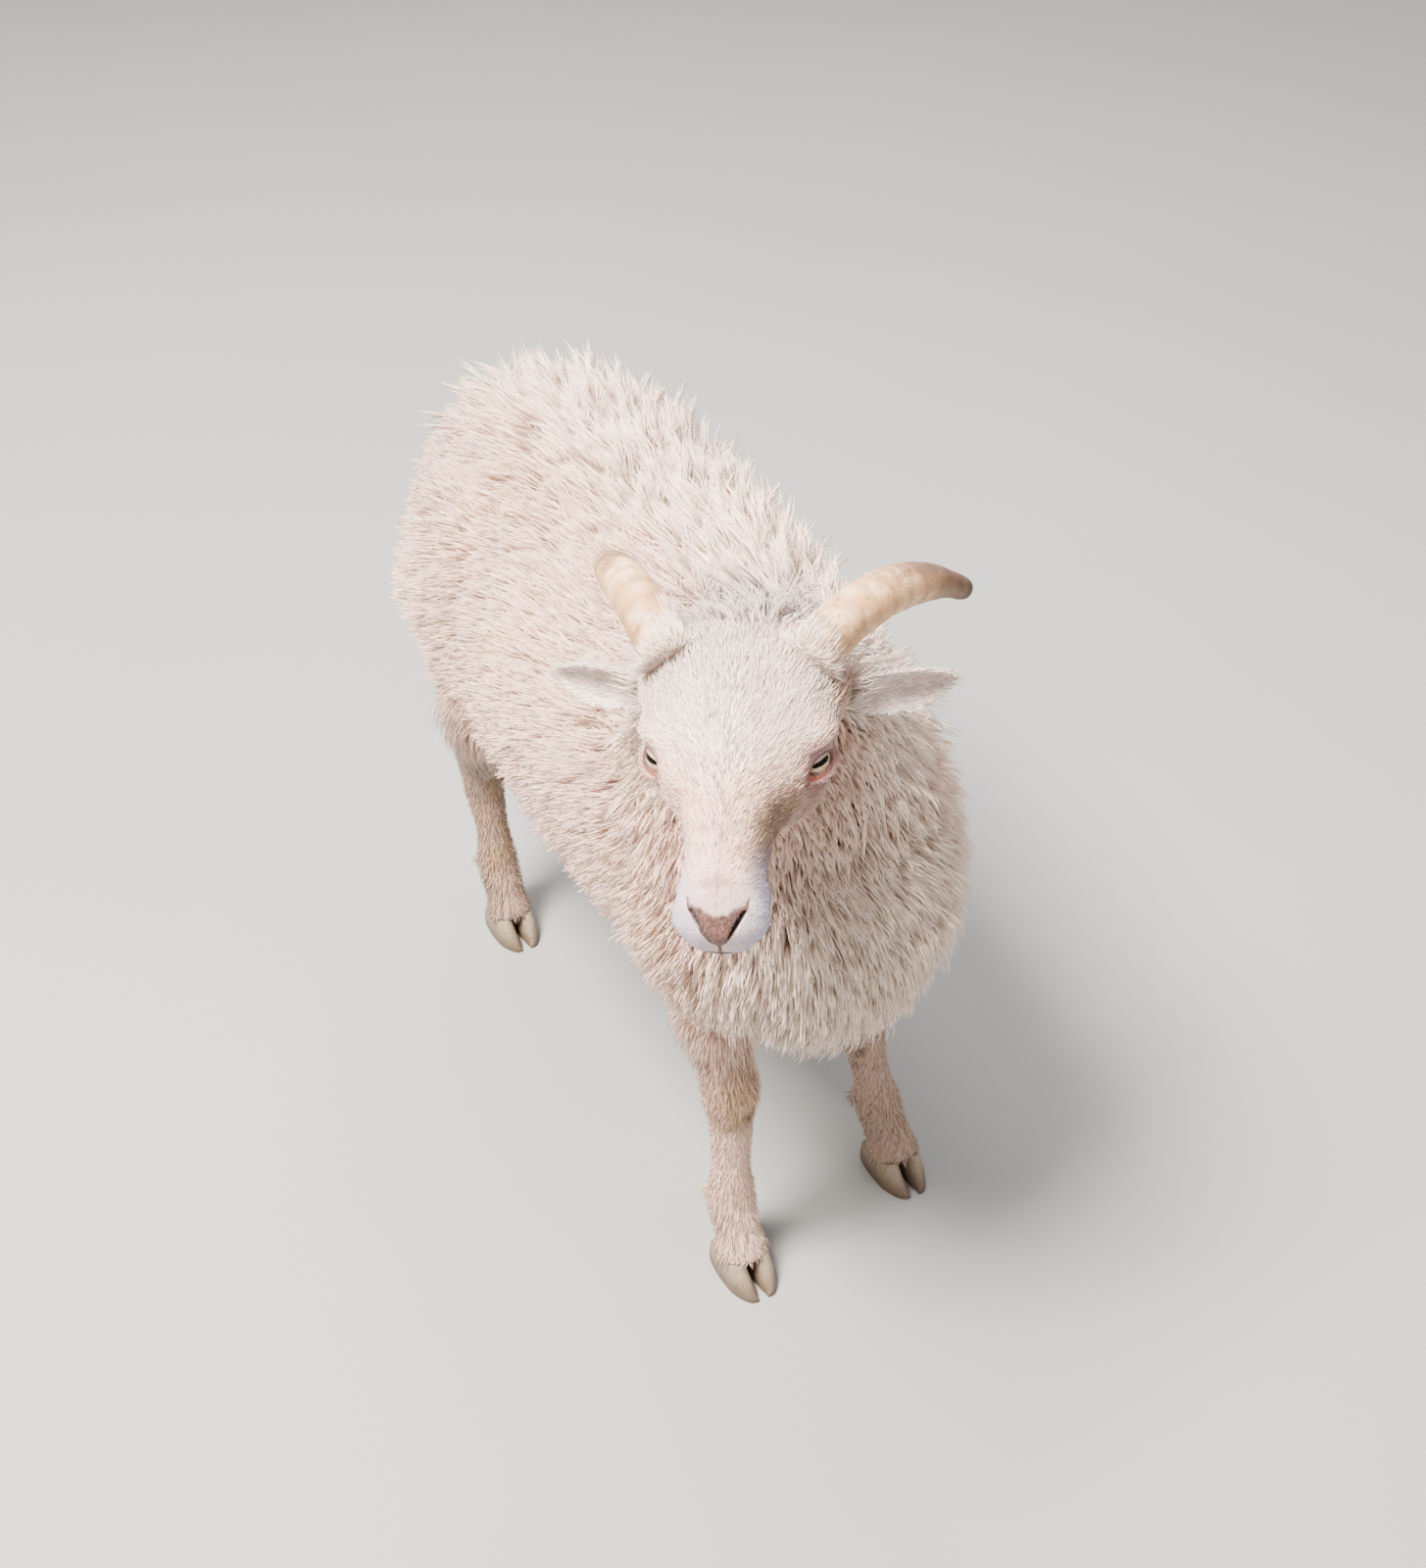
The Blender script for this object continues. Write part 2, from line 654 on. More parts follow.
class Paint:
    """A material's node tree, and the ways in which its nodes are made."""

    def __init__(self, name: str) -> None:
        """Starts a material with its main shader."""
        self.material = bpy.data.materials.new(name)
        self.material.use_nodes = True
        self.tree = self.material.node_tree
        self.shader = self.tree.nodes["Principled BSDF"]

    def node(self, kind: str, settings: dict | None = None, values: dict | None = None,
             output: int = 0) -> Wire:
        """Adds one node.

        Args:
            kind: The node's type.
            settings: Its settings, and a ramp's stops.
            values: Numbers, colours or wires for its inputs, by name or index.
            output: Which of its outputs is wanted.

        Returns:
            That output.
        """
        made = self.tree.nodes.new(kind)
        for key, value in (settings or {}).items():
            if key == "stops":
                ramp = made.color_ramp
                while len(ramp.elements) < len(value):
                    ramp.elements.new(1.0)
                for element, (place, colour) in zip(ramp.elements, value):
                    element.position = place
                    element.color = (*colour, 1)
            else:
                setattr(made, key, value)
        for key, value in (values or {}).items():
            self.feed(made.inputs[key], value)
        return Wire(self, made.outputs[output])

    def feed(self, socket: bpy.types.NodeSocket, value: "Wire | float | tuple") -> None:
        """Links a wire to a socket, or sets its value."""
        if isinstance(value, Wire):
            self.tree.links.new(value.socket, socket)
        else:
            socket.default_value = value

    def set(self, **values: "Wire | float | tuple") -> None:
        """Feeds the main shader's inputs, whose names are given with underscores."""
        for key, value in values.items():
            self.feed(self.shader.inputs[key.replace("_", " ")], value)

    def maths(self, operation: str, first: "Wire | float", second: "Wire | float") -> Wire:
        """One Math node."""
        return self.node("ShaderNodeMath", {"operation": operation}, {0: first, 1: second})

    def vector(self, operation: str, first: "Wire | Vector", second: "Wire | Vector",
               output: int = 0) -> Wire:
        """One Vector Math node."""
        return self.node("ShaderNodeVectorMath", {"operation": operation},
                         {0: first, 1: second}, output)

    def mix(self, share: "Wire | float", first: "Wire | Triple",
            second: "Wire | Triple") -> Wire:
        """Mixes two colours by a share."""
        values = {0: share}
        for index, colour in ((6, first), (7, second)):
            values[index] = colour if isinstance(colour, Wire) else (*colour, 1)
        settings = {"data_type": "RGBA", "clamp_factor": True}
        return self.node("ShaderNodeMix", settings, values, 2)

    def noise(self, at: Wire, scale: float, detail: float = 2.0, rough: float = 0.5) -> Wire:
        """A noise from 0 to 1, centred on 0.5."""
        return self.node("ShaderNodeTexNoise", {},
                         {"Vector": at, "Scale": scale, "Detail": detail, "Roughness": rough})

    def attribute(self, name: str) -> Wire:
        """A number that the mesh holds at each vertex."""
        return self.node("ShaderNodeAttribute", {"attribute_name": name}, {}, 2)

    def place(self) -> Wire:
        """The place on the animal, in the frame of the sizes."""
        raw = self.node("ShaderNodeTexCoord", {}, {}, 3)
        return self.vector("SUBTRACT", raw, tuple(model_shift()))

    def head_place(self, place: Wire) -> Wire:
        """The place in the head's own frame."""
        inverse = head_matrix().inverted()
        return self.node("ShaderNodeMapping", {"vector_type": "POINT"},
                         {"Vector": place, "Location": tuple(inverse.to_translation()),
                          "Rotation": tuple(inverse.to_euler("XYZ"))})

    def stretched(self, at: Wire, scale: Triple) -> Wire:
        """The place with each of its three numbers multiplied."""
        return self.node("ShaderNodeMapping", {}, {"Vector": at, "Scale": scale})

    def parts(self, vector: Wire) -> tuple[Wire, Wire, Wire]:
        """The three numbers of a vector."""
        split = self.node("ShaderNodeSeparateXYZ", {}, {0: vector})
        return tuple(Wire(self, out) for out in split.socket.node.outputs)

    def twofold(self, head: Wire) -> Wire:
        """The head's place with both sides folded onto the left."""
        x, y, z = self.parts(head)
        return self.node("ShaderNodeCombineXYZ", {}, {0: x.size(), 1: y, 2: z})

    def ball(self, at: Wire, centre: Triple, radii: Triple, soft: float = 0.4) -> Wire:
        """1 inside an egg-shaped space and 0 outside, with a soft edge."""
        away = self.vector("SUBTRACT", at, centre)
        scaled = self.vector("DIVIDE", away, radii)
        length = self.vector("LENGTH", scaled, (0, 0, 0), 1)
        return length.step(1 + soft, 1 - soft)

    def oval(self, u: Wire, v: Wire, centre: Triple, radii: Triple, soft: float) -> Wire:
        """1 inside an oval on two measures and 0 outside, with a soft edge."""
        first = (u - centre[0]) * (1 / radii[0])
        second = (v - centre[1]) * (1 / radii[1])
        return ((first * first + second * second) ** 0.5).step(1 + soft, 1 - soft)

    def bump(self, height: Wire, distance: float, strength: float = 1.0) -> Wire:
        """A surface normal from a height."""
        return self.node("ShaderNodeBump", {},
                         {"Height": height, "Distance": distance, "Strength": strength})


TAN_SPOTS = (  # Centre, radii and strength of the stains on the knees, hocks and shanks
    ((-0.067, -0.014, 0.150), (0.022, 0.018, 0.030), 0.95),
    ((0.045, 0.012, 0.155), (0.020, 0.018, 0.024), 0.60),
    ((-0.066, 0.424, 0.150), (0.022, 0.020, 0.030), 0.55),
    ((0.072, 0.436, 0.150), (0.022, 0.020, 0.030), 0.55),
    ((-0.064, 0.385, 0.090), (0.022, 0.020, 0.040), 0.60),
    ((0.070, 0.397, 0.090), (0.022, 0.020, 0.040), 0.60),
)
BROWN_SPOTS = (  # The same for the small dark marks on the forelegs
    ((-0.058, -0.014, 0.134), (0.014, 0.012, 0.007), 0.80),
    ((-0.078, -0.012, 0.128), (0.007, 0.010, 0.004), 0.70),
    ((0.034, 0.016, 0.165), (0.005, 0.016, 0.026), 0.90),
    ((0.041, 0.014, 0.120), (0.004, 0.014, 0.030), 0.90),
    ((0.048, 0.012, 0.178), (0.010, 0.012, 0.006), 0.75),
)


@dataclass(frozen=True)
class Markings:
    """The animal's colours place by place, shared by its skin and all its hair."""

    cream: Triple = (0.95, 0.64, 0.48)
    rose: Triple = (0.94, 0.59, 0.475)
    straw: Triple = (0.95, 0.65, 0.43)
    white: Triple = (0.96, 0.77, 0.65)
    grey: Triple = (0.37, 0.315, 0.365)
    brow: Triple = (0.95, 0.83, 0.74)
    muzzle: Triple = (0.40, 0.395, 0.56)
    pink: Triple = (0.50, 0.26, 0.24)
    mauve: Triple = (0.58, 0.35, 0.37)
    chest: Triple = (0.88, 0.76, 0.66)
    nose: Triple = (0.050, 0.013, 0.010)
    pad: Triple = (0.105, 0.030, 0.024)
    slit: Triple = (0.022, 0.006, 0.005)
    stroke: Triple = (0.40, 0.235, 0.215)
    tear: Triple = (0.30, 0.045, 0.018)
    lid: Triple = (0.32, 0.13, 0.105)
    fold: Triple = (0.27, 0.125, 0.135)
    stain: Triple = (0.30, 0.165, 0.085)
    rim: Triple = (0.070, 0.013, 0.009)
    lip: Triple = (0.12, 0.050, 0.040)
    tan: Triple = (0.44, 0.25, 0.125)
    shade: Triple = (0.34, 0.23, 0.175)
    brown: Triple = (0.16, 0.09, 0.05)

    def colour(self, paint: Paint) -> Wire:
        """The colour of skin and hair at each place.

        Args:
            paint: The material that reads it.

        Returns:
            The colour.
        """
        body = paint.place()
        head = paint.head_place(body)
        made = self.body_colour(paint, body)
        return self.head_colour(paint, head, made)

    def body_colour(self, paint: Paint, body: Wire) -> Wire:
        """The fleece's and the legs' colours."""
        x, y, z = paint.parts(body)
        broad = paint.noise(body, 9.0, 2.0)
        middle = paint.noise(paint.vector("ADD", body, (3.1, 1.7, 0.4)), 16.0, 3.0)
        fine = paint.noise(body, 70.0, 3.0)
        made = paint.mix(broad.step(0.40, 0.62), self.cream, self.rose)
        made = paint.mix(middle.step(0.50, 0.68) * 0.65, made, self.straw)
        made = paint.mix(fine.step(0.50, 0.75) * 0.5, made, self.white)
        ridge = z.step(0.385, 0.425) * x.step(-0.045, 0.0) * 0.75
        made = paint.mix(ridge, made, self.white)
        nape = paint.ball(body, (-0.032, 0.040, 0.472), (0.080, 0.078, 0.066), 0.45)
        made = paint.mix(nape * 0.92, made, self.grey)
        chest = paint.ball(body, (0.000, -0.075, 0.270), (0.130, 0.080, 0.130), 0.4)
        made = paint.mix(chest * 0.65, made, self.chest)
        legs = z.step(0.225, 0.165)
        stains = paint.noise(body, 45.0, 3.0, 0.6)
        far = x.step(-0.03, 0.01).most(y.step(0.20, 0.30))
        made = paint.mix(legs * (far * 0.50 + 0.36), made, self.shade)
        hind = y.step(0.28, 0.36) * z.step(0.300, 0.215)
        made = paint.mix(hind * stains.step(0.20, 0.60) * 0.42, made, self.brown)
        made = paint.mix(legs * stains.step(0.35, 0.70) * 0.36, made, self.tan)
        dark = paint.noise(body, 110.0, 2.0)
        for spots, soft, grain, colour in (
                (TAN_SPOTS, 0.45, stains.step(0.30, 0.60), self.tan),
                (BROWN_SPOTS, 0.5, dark.step(0.36, 0.56), self.brown)):
            for centre, radii, weight in spots:
                spot = paint.ball(body, centre, radii, soft) * grain * weight
                made = paint.mix(spot, made, colour)
        specks = paint.noise(paint.vector("ADD", body, (7.0, 2.0, 5.0)), 160.0, 1.0)
        return paint.mix(specks.step(0.735, 0.765) * 0.6, made, self.tan)

    def head_colour(self, paint: Paint, head: Wire, ground: Wire) -> Wire:
        """The face's colours over those of the coat."""
        both = paint.twofold(head)
        x, y, z = paint.parts(both)
        fine = paint.noise(head, 240.0, 3.0)
        patch = paint.noise(head, 60.0, 2.0)
        made = ground
        brow = paint.ball(both, (0.000, 0.030, 0.040), (0.066, 0.066, 0.040), 0.35)
        ears = paint.ball(both, tuple(EAR_ROOT.lerp(EAR_TIP, 0.55)), (0.036, 0.034, 0.026), 0.3)
        made = paint.mix((brow * y.step(0.078, 0.052)).most(ears) * 0.85, made, self.brow)
        jaw = paint.ball(both, tuple(CHEEK_PLACE), (0.030, 0.040, 0.034), 0.5)
        made = paint.mix(jaw * 0.55, made, self.shade)
        made = paint.mix(paint.ball(both, (0.020, -0.050, 0.002), (0.022, 0.034, 0.020)) * 0.35,
                         made, self.rose)
        left = paint.parts(head)[0].step(-0.02, 0.02)
        cheek = paint.ball(both, (0.025, -0.050, -0.010), (0.015, 0.034, 0.020), 0.5)
        made = paint.mix(cheek * patch.step(0.20, 0.50) * (left * 0.45 + 0.40), made, self.straw)
        stain = paint.ball(both, (0.024, -0.048, -0.009), (0.015, 0.032, 0.020), 0.5)
        made = paint.mix(stain * patch.step(0.15, 0.50) * (left * 0.88 + 0.04), made, self.stain)
        temple = paint.ball(both, (0.050, 0.030, 0.018), (0.013, 0.020, 0.016), 0.5)
        made = paint.mix(temple * patch.step(0.35, 0.60) * (left * 0.30 + 0.15), made, self.tan)
        flow = paint.node("ShaderNodeMapping", {"vector_type": "TEXTURE"},
                          {"Vector": both, "Rotation": (0, 0, -0.45),
                           "Scale": (0.0030, 0.0130, 0.0060)})
        marks = paint.noise(flow, 1.0, 2.0, 0.5).step(0.54, 0.66)
        marks = marks * (y.step(0.050, -0.030) * 0.40 + 0.14)
        made = paint.mix(marks, made, self.stroke)
        muzzle = paint.ball(both, (0.020, -0.078, -0.032), (0.027, 0.031, 0.026), 0.55)
        made = paint.mix(muzzle * 0.92, made, self.muzzle)
        bridge = x.step(0.014, 0.002) * y.step(-0.022, -0.050) * z.step(-0.018, -0.006)
        made = paint.mix(bridge * fine.step(0.20, 0.60) * 0.70, made, self.pink)
        line = x.step(0.0013, 0.0003) * y.step(-0.036, -0.050) * z.step(-0.016, -0.008)
        made = paint.mix(line * fine.step(0.35, 0.55) * 0.60, made, self.lid)
        inside = (z - PAD_LOW) * PAD_SLOPE - x
        ragged = fine * 0.0030 - 0.0015
        front = y.step(-0.0840, -0.0880)
        top = (z - x * 0.30 + ragged * 2.0).step(PAD_TOP + 0.0002, PAD_TOP - 0.0026)
        pad = (inside + ragged).step(-0.0003, 0.0007) * top * front
        made = paint.mix(pad, made, paint.mix(patch.step(0.35, 0.65), self.nose, self.pad))
        edge = (z - PAD_LOW) * 0.135 + 0.0006
        edge = inside.step(-0.0007, -0.0001) * (edge - inside).step(-0.0004, 0.0005) * front
        edge = edge * z.step(PAD_TOP + 0.0016, PAD_TOP - 0.0004)
        made = paint.mix(edge * 0.92, made, self.slit)
        split = x.step(0.0014, 0.0005) * z.step(-0.0265, -0.0300) * y.step(-0.080, -0.090)
        made = paint.mix(split * 0.9, made, self.rim)
        mouth = below_mouth(y, z).size()
        mouth = mouth.step(0.0019, 0.0007) * y.step(-0.058, -0.064)
        made = paint.mix(mouth * 0.75, made, self.lip)
        away = paint.vector("DISTANCE", both, tuple(EYE_PLACE), 1)
        _, corner_way, over = eye_axes(1)
        offset = paint.vector("SUBTRACT", both, tuple(EYE_PLACE))
        u = paint.vector("DOT_PRODUCT", offset, tuple(corner_way), 1)
        v = paint.vector("DOT_PRODUCT", offset, tuple(over), 1)
        near = away.step(0.0225, 0.0190)
        made = paint.mix(near * (left * 0.50 + 0.30), made, self.pink)
        lids = paint.oval(u, v, (0.0, 0.0020), (LID_LONG * 1.15, LID_TALL * 2.2), 0.20)
        made = paint.mix(near * lids * (left * 0.20 + 0.70), made,
                         paint.mix(v.step(-0.001, 0.003), self.lid, self.fold))
        crease = (u * 0.10 - v + 0.0078).size().step(0.0009, 0.0003)
        crease = crease * u.size().step(0.0095, 0.0060)
        made = paint.mix(near * crease * (left * 0.35 + 0.35), made, self.lip)
        for grow, soft, weight, colour in ((1.30, 0.15, 0.80, self.rim),
                                           (1.00, 0.25, 0.95, self.tear)):
            for centre, radii in TEAR_OVALS:
                oval = paint.oval(u, v, centre, [r * grow for r in radii], soft)
                made = paint.mix(near * oval * weight, made, colour)
        made = paint.mix(away.step(0.0146, 0.0139) * 0.95, made, self.rim)
        return self.ear_colour(paint, both, head, made)

    def ear_colour(self, paint: Paint, both: Wire, head: Wire, ground: Wire) -> Wire:
        """The mauve cup of each ear, where the surface faces forwards."""
        middle = EAR_ROOT.lerp(EAR_TIP, 0.70)
        zone = paint.ball(both, tuple(middle), (0.020, 0.026, 0.0085), 0.5)
        normal = paint.node("ShaderNodeNewGeometry", {}, {}, 1)
        front = head_matrix().to_3x3() @ EAR_FRONT
        facing = paint.vector("DOT_PRODUCT", normal, tuple(front), 1)
        bare = paint.noise(head, 170.0, 3.0).step(0.30, 0.62) * 0.45 + 0.15
        bare = bare * (paint.parts(head)[0].step(-0.02, 0.02) * 0.75 + 0.25)
        return paint.mix(zone * facing.step(0.05, 0.55) * bare, ground, self.mauve)


@dataclass(frozen=True)
class SkinFinish:
    """Skin with the down and hair that lie flat on it."""

    name: str = "skin"
    roughness: float = 0.62

    def material(self) -> Material:
        """Builds the material."""
        paint = Paint(self.name)
        colour = Markings().colour(paint)
        body = paint.place()
        head = paint.head_place(body)
        hair = paint.noise(paint.stretched(head, (900, 260, 620)), 1.0, 3.0, 0.6)
        paint.set(Base_Color=paint.mix(hair.step(0.65, 0.35) * 0.22, colour, (0.45, 0.33, 0.27)),
                  Roughness=hair.step(0.2, 0.8) * 0.25 + (self.roughness - 0.12),
                  Normal=paint.bump(hair, 0.0006, 0.7))
        paint.set(Subsurface_Weight=0.10, Subsurface_Radius=(0.006, 0.003, 0.002),
                  Subsurface_Scale=0.5)
        return paint.material


@dataclass(frozen=True)
class HairFinish:
    """Wool or hair: the coat's markings, darker at the root, and each tuft a little its own."""

    name: str
    root_shade: float
    tint_spread: float
    strokes: float = 0.0
    pale_root: float = 0.0
    roughness: float = 0.75
    sheen: float = 0.25

    def material(self) -> Material:
        """Builds the material."""
        paint = Paint(self.name)
        colour = Markings().colour(paint)
        along = paint.attribute("along")
        tint = paint.attribute("tint")
        shade = along.step(0.0, 0.75) * self.root_shade + (1 - self.root_shade)
        own = (tint - 0.5) * self.tint_spread + 1.0
        shaded = paint.node("ShaderNodeHueSaturation", {}, {"Color": colour, "Value": shade * own})
        shaded = paint.mix(tint.step(0.55, 0.95) * 0.16, shaded, (0.84, 0.66, 0.50))
        shaded = paint.mix(along.step(0.95, 0.15) * self.pale_root, shaded, (0.96, 0.79, 0.67))
        if self.strokes:
            ahead = paint.parts(paint.head_place(paint.place()))[1]
            dark = tint.step(0.52, 0.24) * (ahead.step(0.010, -0.030) * 0.80 + 0.20)
            shaded = paint.mix(dark * self.strokes, shaded, (0.26, 0.14, 0.11))
        paint.set(Base_Color=shaded, Roughness=along.step(1.0, 0.3) * 0.12 + self.roughness - 0.06)
        paint.set(Sheen_Weight=self.sheen, Sheen_Roughness=0.5)
        return paint.material


@dataclass(frozen=True)
class HornFinish:
    """Young horn: tan, with dark flecks, grey on top and towards the tip, orange at the base."""

    name: str = "horn"

    def material(self) -> Material:
        """Builds the material."""
        paint = Paint(self.name)
        place = paint.place()
        along = paint.attribute("along")
        rings = paint.attribute("rings")
        normal = paint.node("ShaderNodeNewGeometry", {}, {}, 1)
        up = paint.parts(normal)[2]
        patch = paint.noise(place, 55.0, 3.0, 0.6)
        fleck = paint.noise(place, 420.0, 2.0, 0.6)
        ramp = {"stops": ((0.0, (0.85, 0.66, 0.50)), (0.20, (0.42, 0.20, 0.085)),
                          (0.38, (0.66, 0.37, 0.16)), (0.58, (0.62, 0.34, 0.15)),
                          (0.74, (0.22, 0.100, 0.042)), (0.90, (0.055, 0.024, 0.012)))}
        colour = paint.node("ShaderNodeValToRGB", ramp, {"Fac": along + (patch - 0.5) * 0.34})
        top = up.step(0.20, 0.85) * along.step(0.30, 0.62) * patch.step(0.30, 0.56)
        colour = paint.mix(top * 0.88, colour, (0.11, 0.065, 0.050))
        pale = paint.noise(paint.vector("ADD", place, (0.4, 2.2, 1.1)), 60.0, 4.0, 0.65)
        colour = paint.mix(pale.step(0.46, 0.66) * along.step(0.75, 0.50) * 0.65, colour,
                           (0.95, 0.67, 0.42))
        colour = paint.mix(rings.step(0.45, 0.0) * 0.32, colour, (0.22, 0.13, 0.07))
        colour = paint.mix(fleck.step(0.62, 0.69) * 0.60, colour, (0.09, 0.050, 0.028))
        streak = paint.noise(place, 140.0, 4.0, 0.7)
        paint.set(Base_Color=colour, Roughness=streak * 0.30 + 0.36,
                  Normal=paint.bump(streak + fleck * 0.4, 0.0005, 0.6))
        paint.set(Coat_Weight=0.08, Coat_Roughness=0.35)
        return paint.material


@dataclass(frozen=True)
class ClawFinish:
    """Pale horn of the claws, worn and stained towards the floor."""

    name: str = "claw"

    def material(self) -> Material:
        """Builds the material."""
        paint = Paint(self.name)
        place = paint.place()
        height = paint.parts(place)[2]
        streak = paint.noise(paint.stretched(place, (500, 500, 60)), 1.0, 3.0, 0.6)
        rings = paint.noise(paint.stretched(place, (30, 30, 620)), 1.0)
        colour = paint.mix(height.step(0.002, 0.020), (0.12, 0.08, 0.05), (0.32, 0.245, 0.17))
        colour = paint.mix(streak.step(0.45, 0.75) * 0.55, colour, (0.10, 0.065, 0.045))
        paint.set(Base_Color=colour, Roughness=rings * 0.25 + 0.38,
                  Normal=paint.bump(rings + streak * 0.5, 0.0006, 0.7))
        return paint.material


@dataclass(frozen=True)
class EyeFinish:
    """A wet pale amber eye with a long dark pupil that lies level between the corners."""

    side: int
    pupil_half: float = 0.0060
    pupil_rise: float = 0.00155
    iris_radius: float = 0.0104

    def material(self) -> Material:
        """Builds the material."""
        paint = Paint("eye")
        head = paint.head_place(paint.place())
        away = paint.vector("SUBTRACT", head, tuple(sided(EYE_PLACE, self.side)))
        _, corner, over = eye_axes(self.side, EYE_LOOK)
        u = paint.vector("DOT_PRODUCT", away, tuple(corner), 1)
        v = paint.vector("DOT_PRODUCT", away, tuple(over), 1)
        flat = paint.node("ShaderNodeCombineXYZ", {}, {0: u, 1: v})
        radius = paint.vector("LENGTH", flat, (0, 0, 0), 1)
        streaks = paint.noise(paint.stretched(away, (900, 900, 900)), 1.0, 3.0)
        pale = paint.mix(streaks.step(0.35, 0.65), (0.46, 0.32, 0.16), (0.70, 0.55, 0.34))
        pale = paint.mix(v.step(0.0010, 0.0032) * 0.75, pale, (0.30, 0.23, 0.26))
        rim = radius.step(self.iris_radius - 0.0016, self.iris_radius)
        colour = paint.mix(rim * 0.75, pale, (0.26, 0.12, 0.06))
        colour = paint.mix(radius.step(self.iris_radius, self.iris_radius + 0.0012), colour,
                           (0.74, 0.52, 0.42))
        long = (u * (1 / self.pupil_half)).size() ** 2.8
        tall = (v * (1 / self.pupil_rise)).size() ** 2.4
        pupil = (long + tall).step(1.25, 0.85)
        colour = paint.mix((long + tall).step(2.2, 1.0) * 0.4, colour, (0.20, 0.13, 0.06))
        colour = paint.mix(pupil, colour, (0.003, 0.002, 0.002))
        paint.set(Base_Color=colour, Roughness=streaks * 0.06 + 0.20)
        paint.set(Coat_Weight=0.08, Coat_Roughness=0.05, IOR=1.30, Specular_IOR_Level=0.12)
        return paint.material


def eye_axes(side: int, look: Vector = EYE_GAZE) -> tuple[Vector, Vector, Vector]:
    """Where an eye looks, the way to its inner corner, and up across it, in the head's frame."""
    gaze = sided(look, side)
    forward = sided(EYE_CORNER_AIM, side)
    corner = (forward - gaze * forward.dot(gaze)).normalized()
    over = gaze.cross(corner) * side * -1
    return gaze, corner, over if over.z > 0 else -over


# Placing pieces

class Ram:
    """Keeps what every piece of the animal needs: its place on the model and its record."""

    def __init__(self) -> None:
        """Reads the model's place."""
        self.shift = model_shift()

    def keep(self, piece: Object, material: Material, slot: str,
             nodes: tuple[str, ...] = ()) -> None:
        """Moves a finished piece onto the model and dresses it.

        Args:
            piece: The piece, whose mesh is in the frame of the sizes.
            material: Its finish.
            slot: The record's slot for that finish.
            nodes: The solids that it stands for.
        """
        piece.data.transform(Matrix.Translation(self.shift))
        piece.data.materials.clear()
        piece.data.materials.append(material)
        piece.data.shade_smooth()
        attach(piece, "root")
        if nodes:
            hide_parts(*nodes)
        LOG.info("%s: %d faces", piece.name, len(piece.data.polygons))


# Flesh

@dataclass
class Ear:
    """A leaf-shaped ear, cupped to the front and rolled towards its root."""

    side: int
    segments: int = 44
    rings: int = 40
    wall: float = 0.0014

    outline = ((0.0, 0.002), (0.06, 0.0090), (0.22, 0.0118), (0.42, 0.0152), (0.62, 0.0155),
               (0.80, 0.0115), (0.93, 0.0053), (1.0, 0.0006))

    def solid(self) -> Object:
        """The ear in the head's frame."""
        root, tip = sided(EAR_ROOT, self.side), sided(EAR_TIP, self.side)
        along = (tip - root).normalized()
        facing = sided(EAR_FACING, self.side)
        facing = (facing - along * facing.dot(along)).normalized()
        across = along.cross(facing) * self.side
        length = (tip - root).length
        mesh = bmesh.new()
        bmesh.ops.create_uvsphere(mesh, u_segments=self.segments, v_segments=self.rings, radius=1)
        for vertex in mesh.verts:
            share = math.acos(max(-1.0, min(1.0, vertex.co.z))) / math.pi
            turn = math.atan2(vertex.co.y, vertex.co.x)
            place, width = smooth_through(self.outline, share * (len(self.outline) - 1))
            pole = min(share, 1 - share) < 1e-4
            spread = 0.0 if pole else math.cos(turn)
            bulge = 0.0 if pole else math.sin(turn)
            rolled = max(0.0, 1 - place / 0.30)
            wall = self.wall + 0.0050 * rolled
            cup = (0.70 * width) * spread**2 * (1 - 0.6 * rolled)
            vertex.co = (root + along * length * place + across * width * spread
                         + facing * (cup + wall * bulge * min(1.0, width / 0.006)))
        face_outwards(mesh)
        return as_object("ear", mesh)


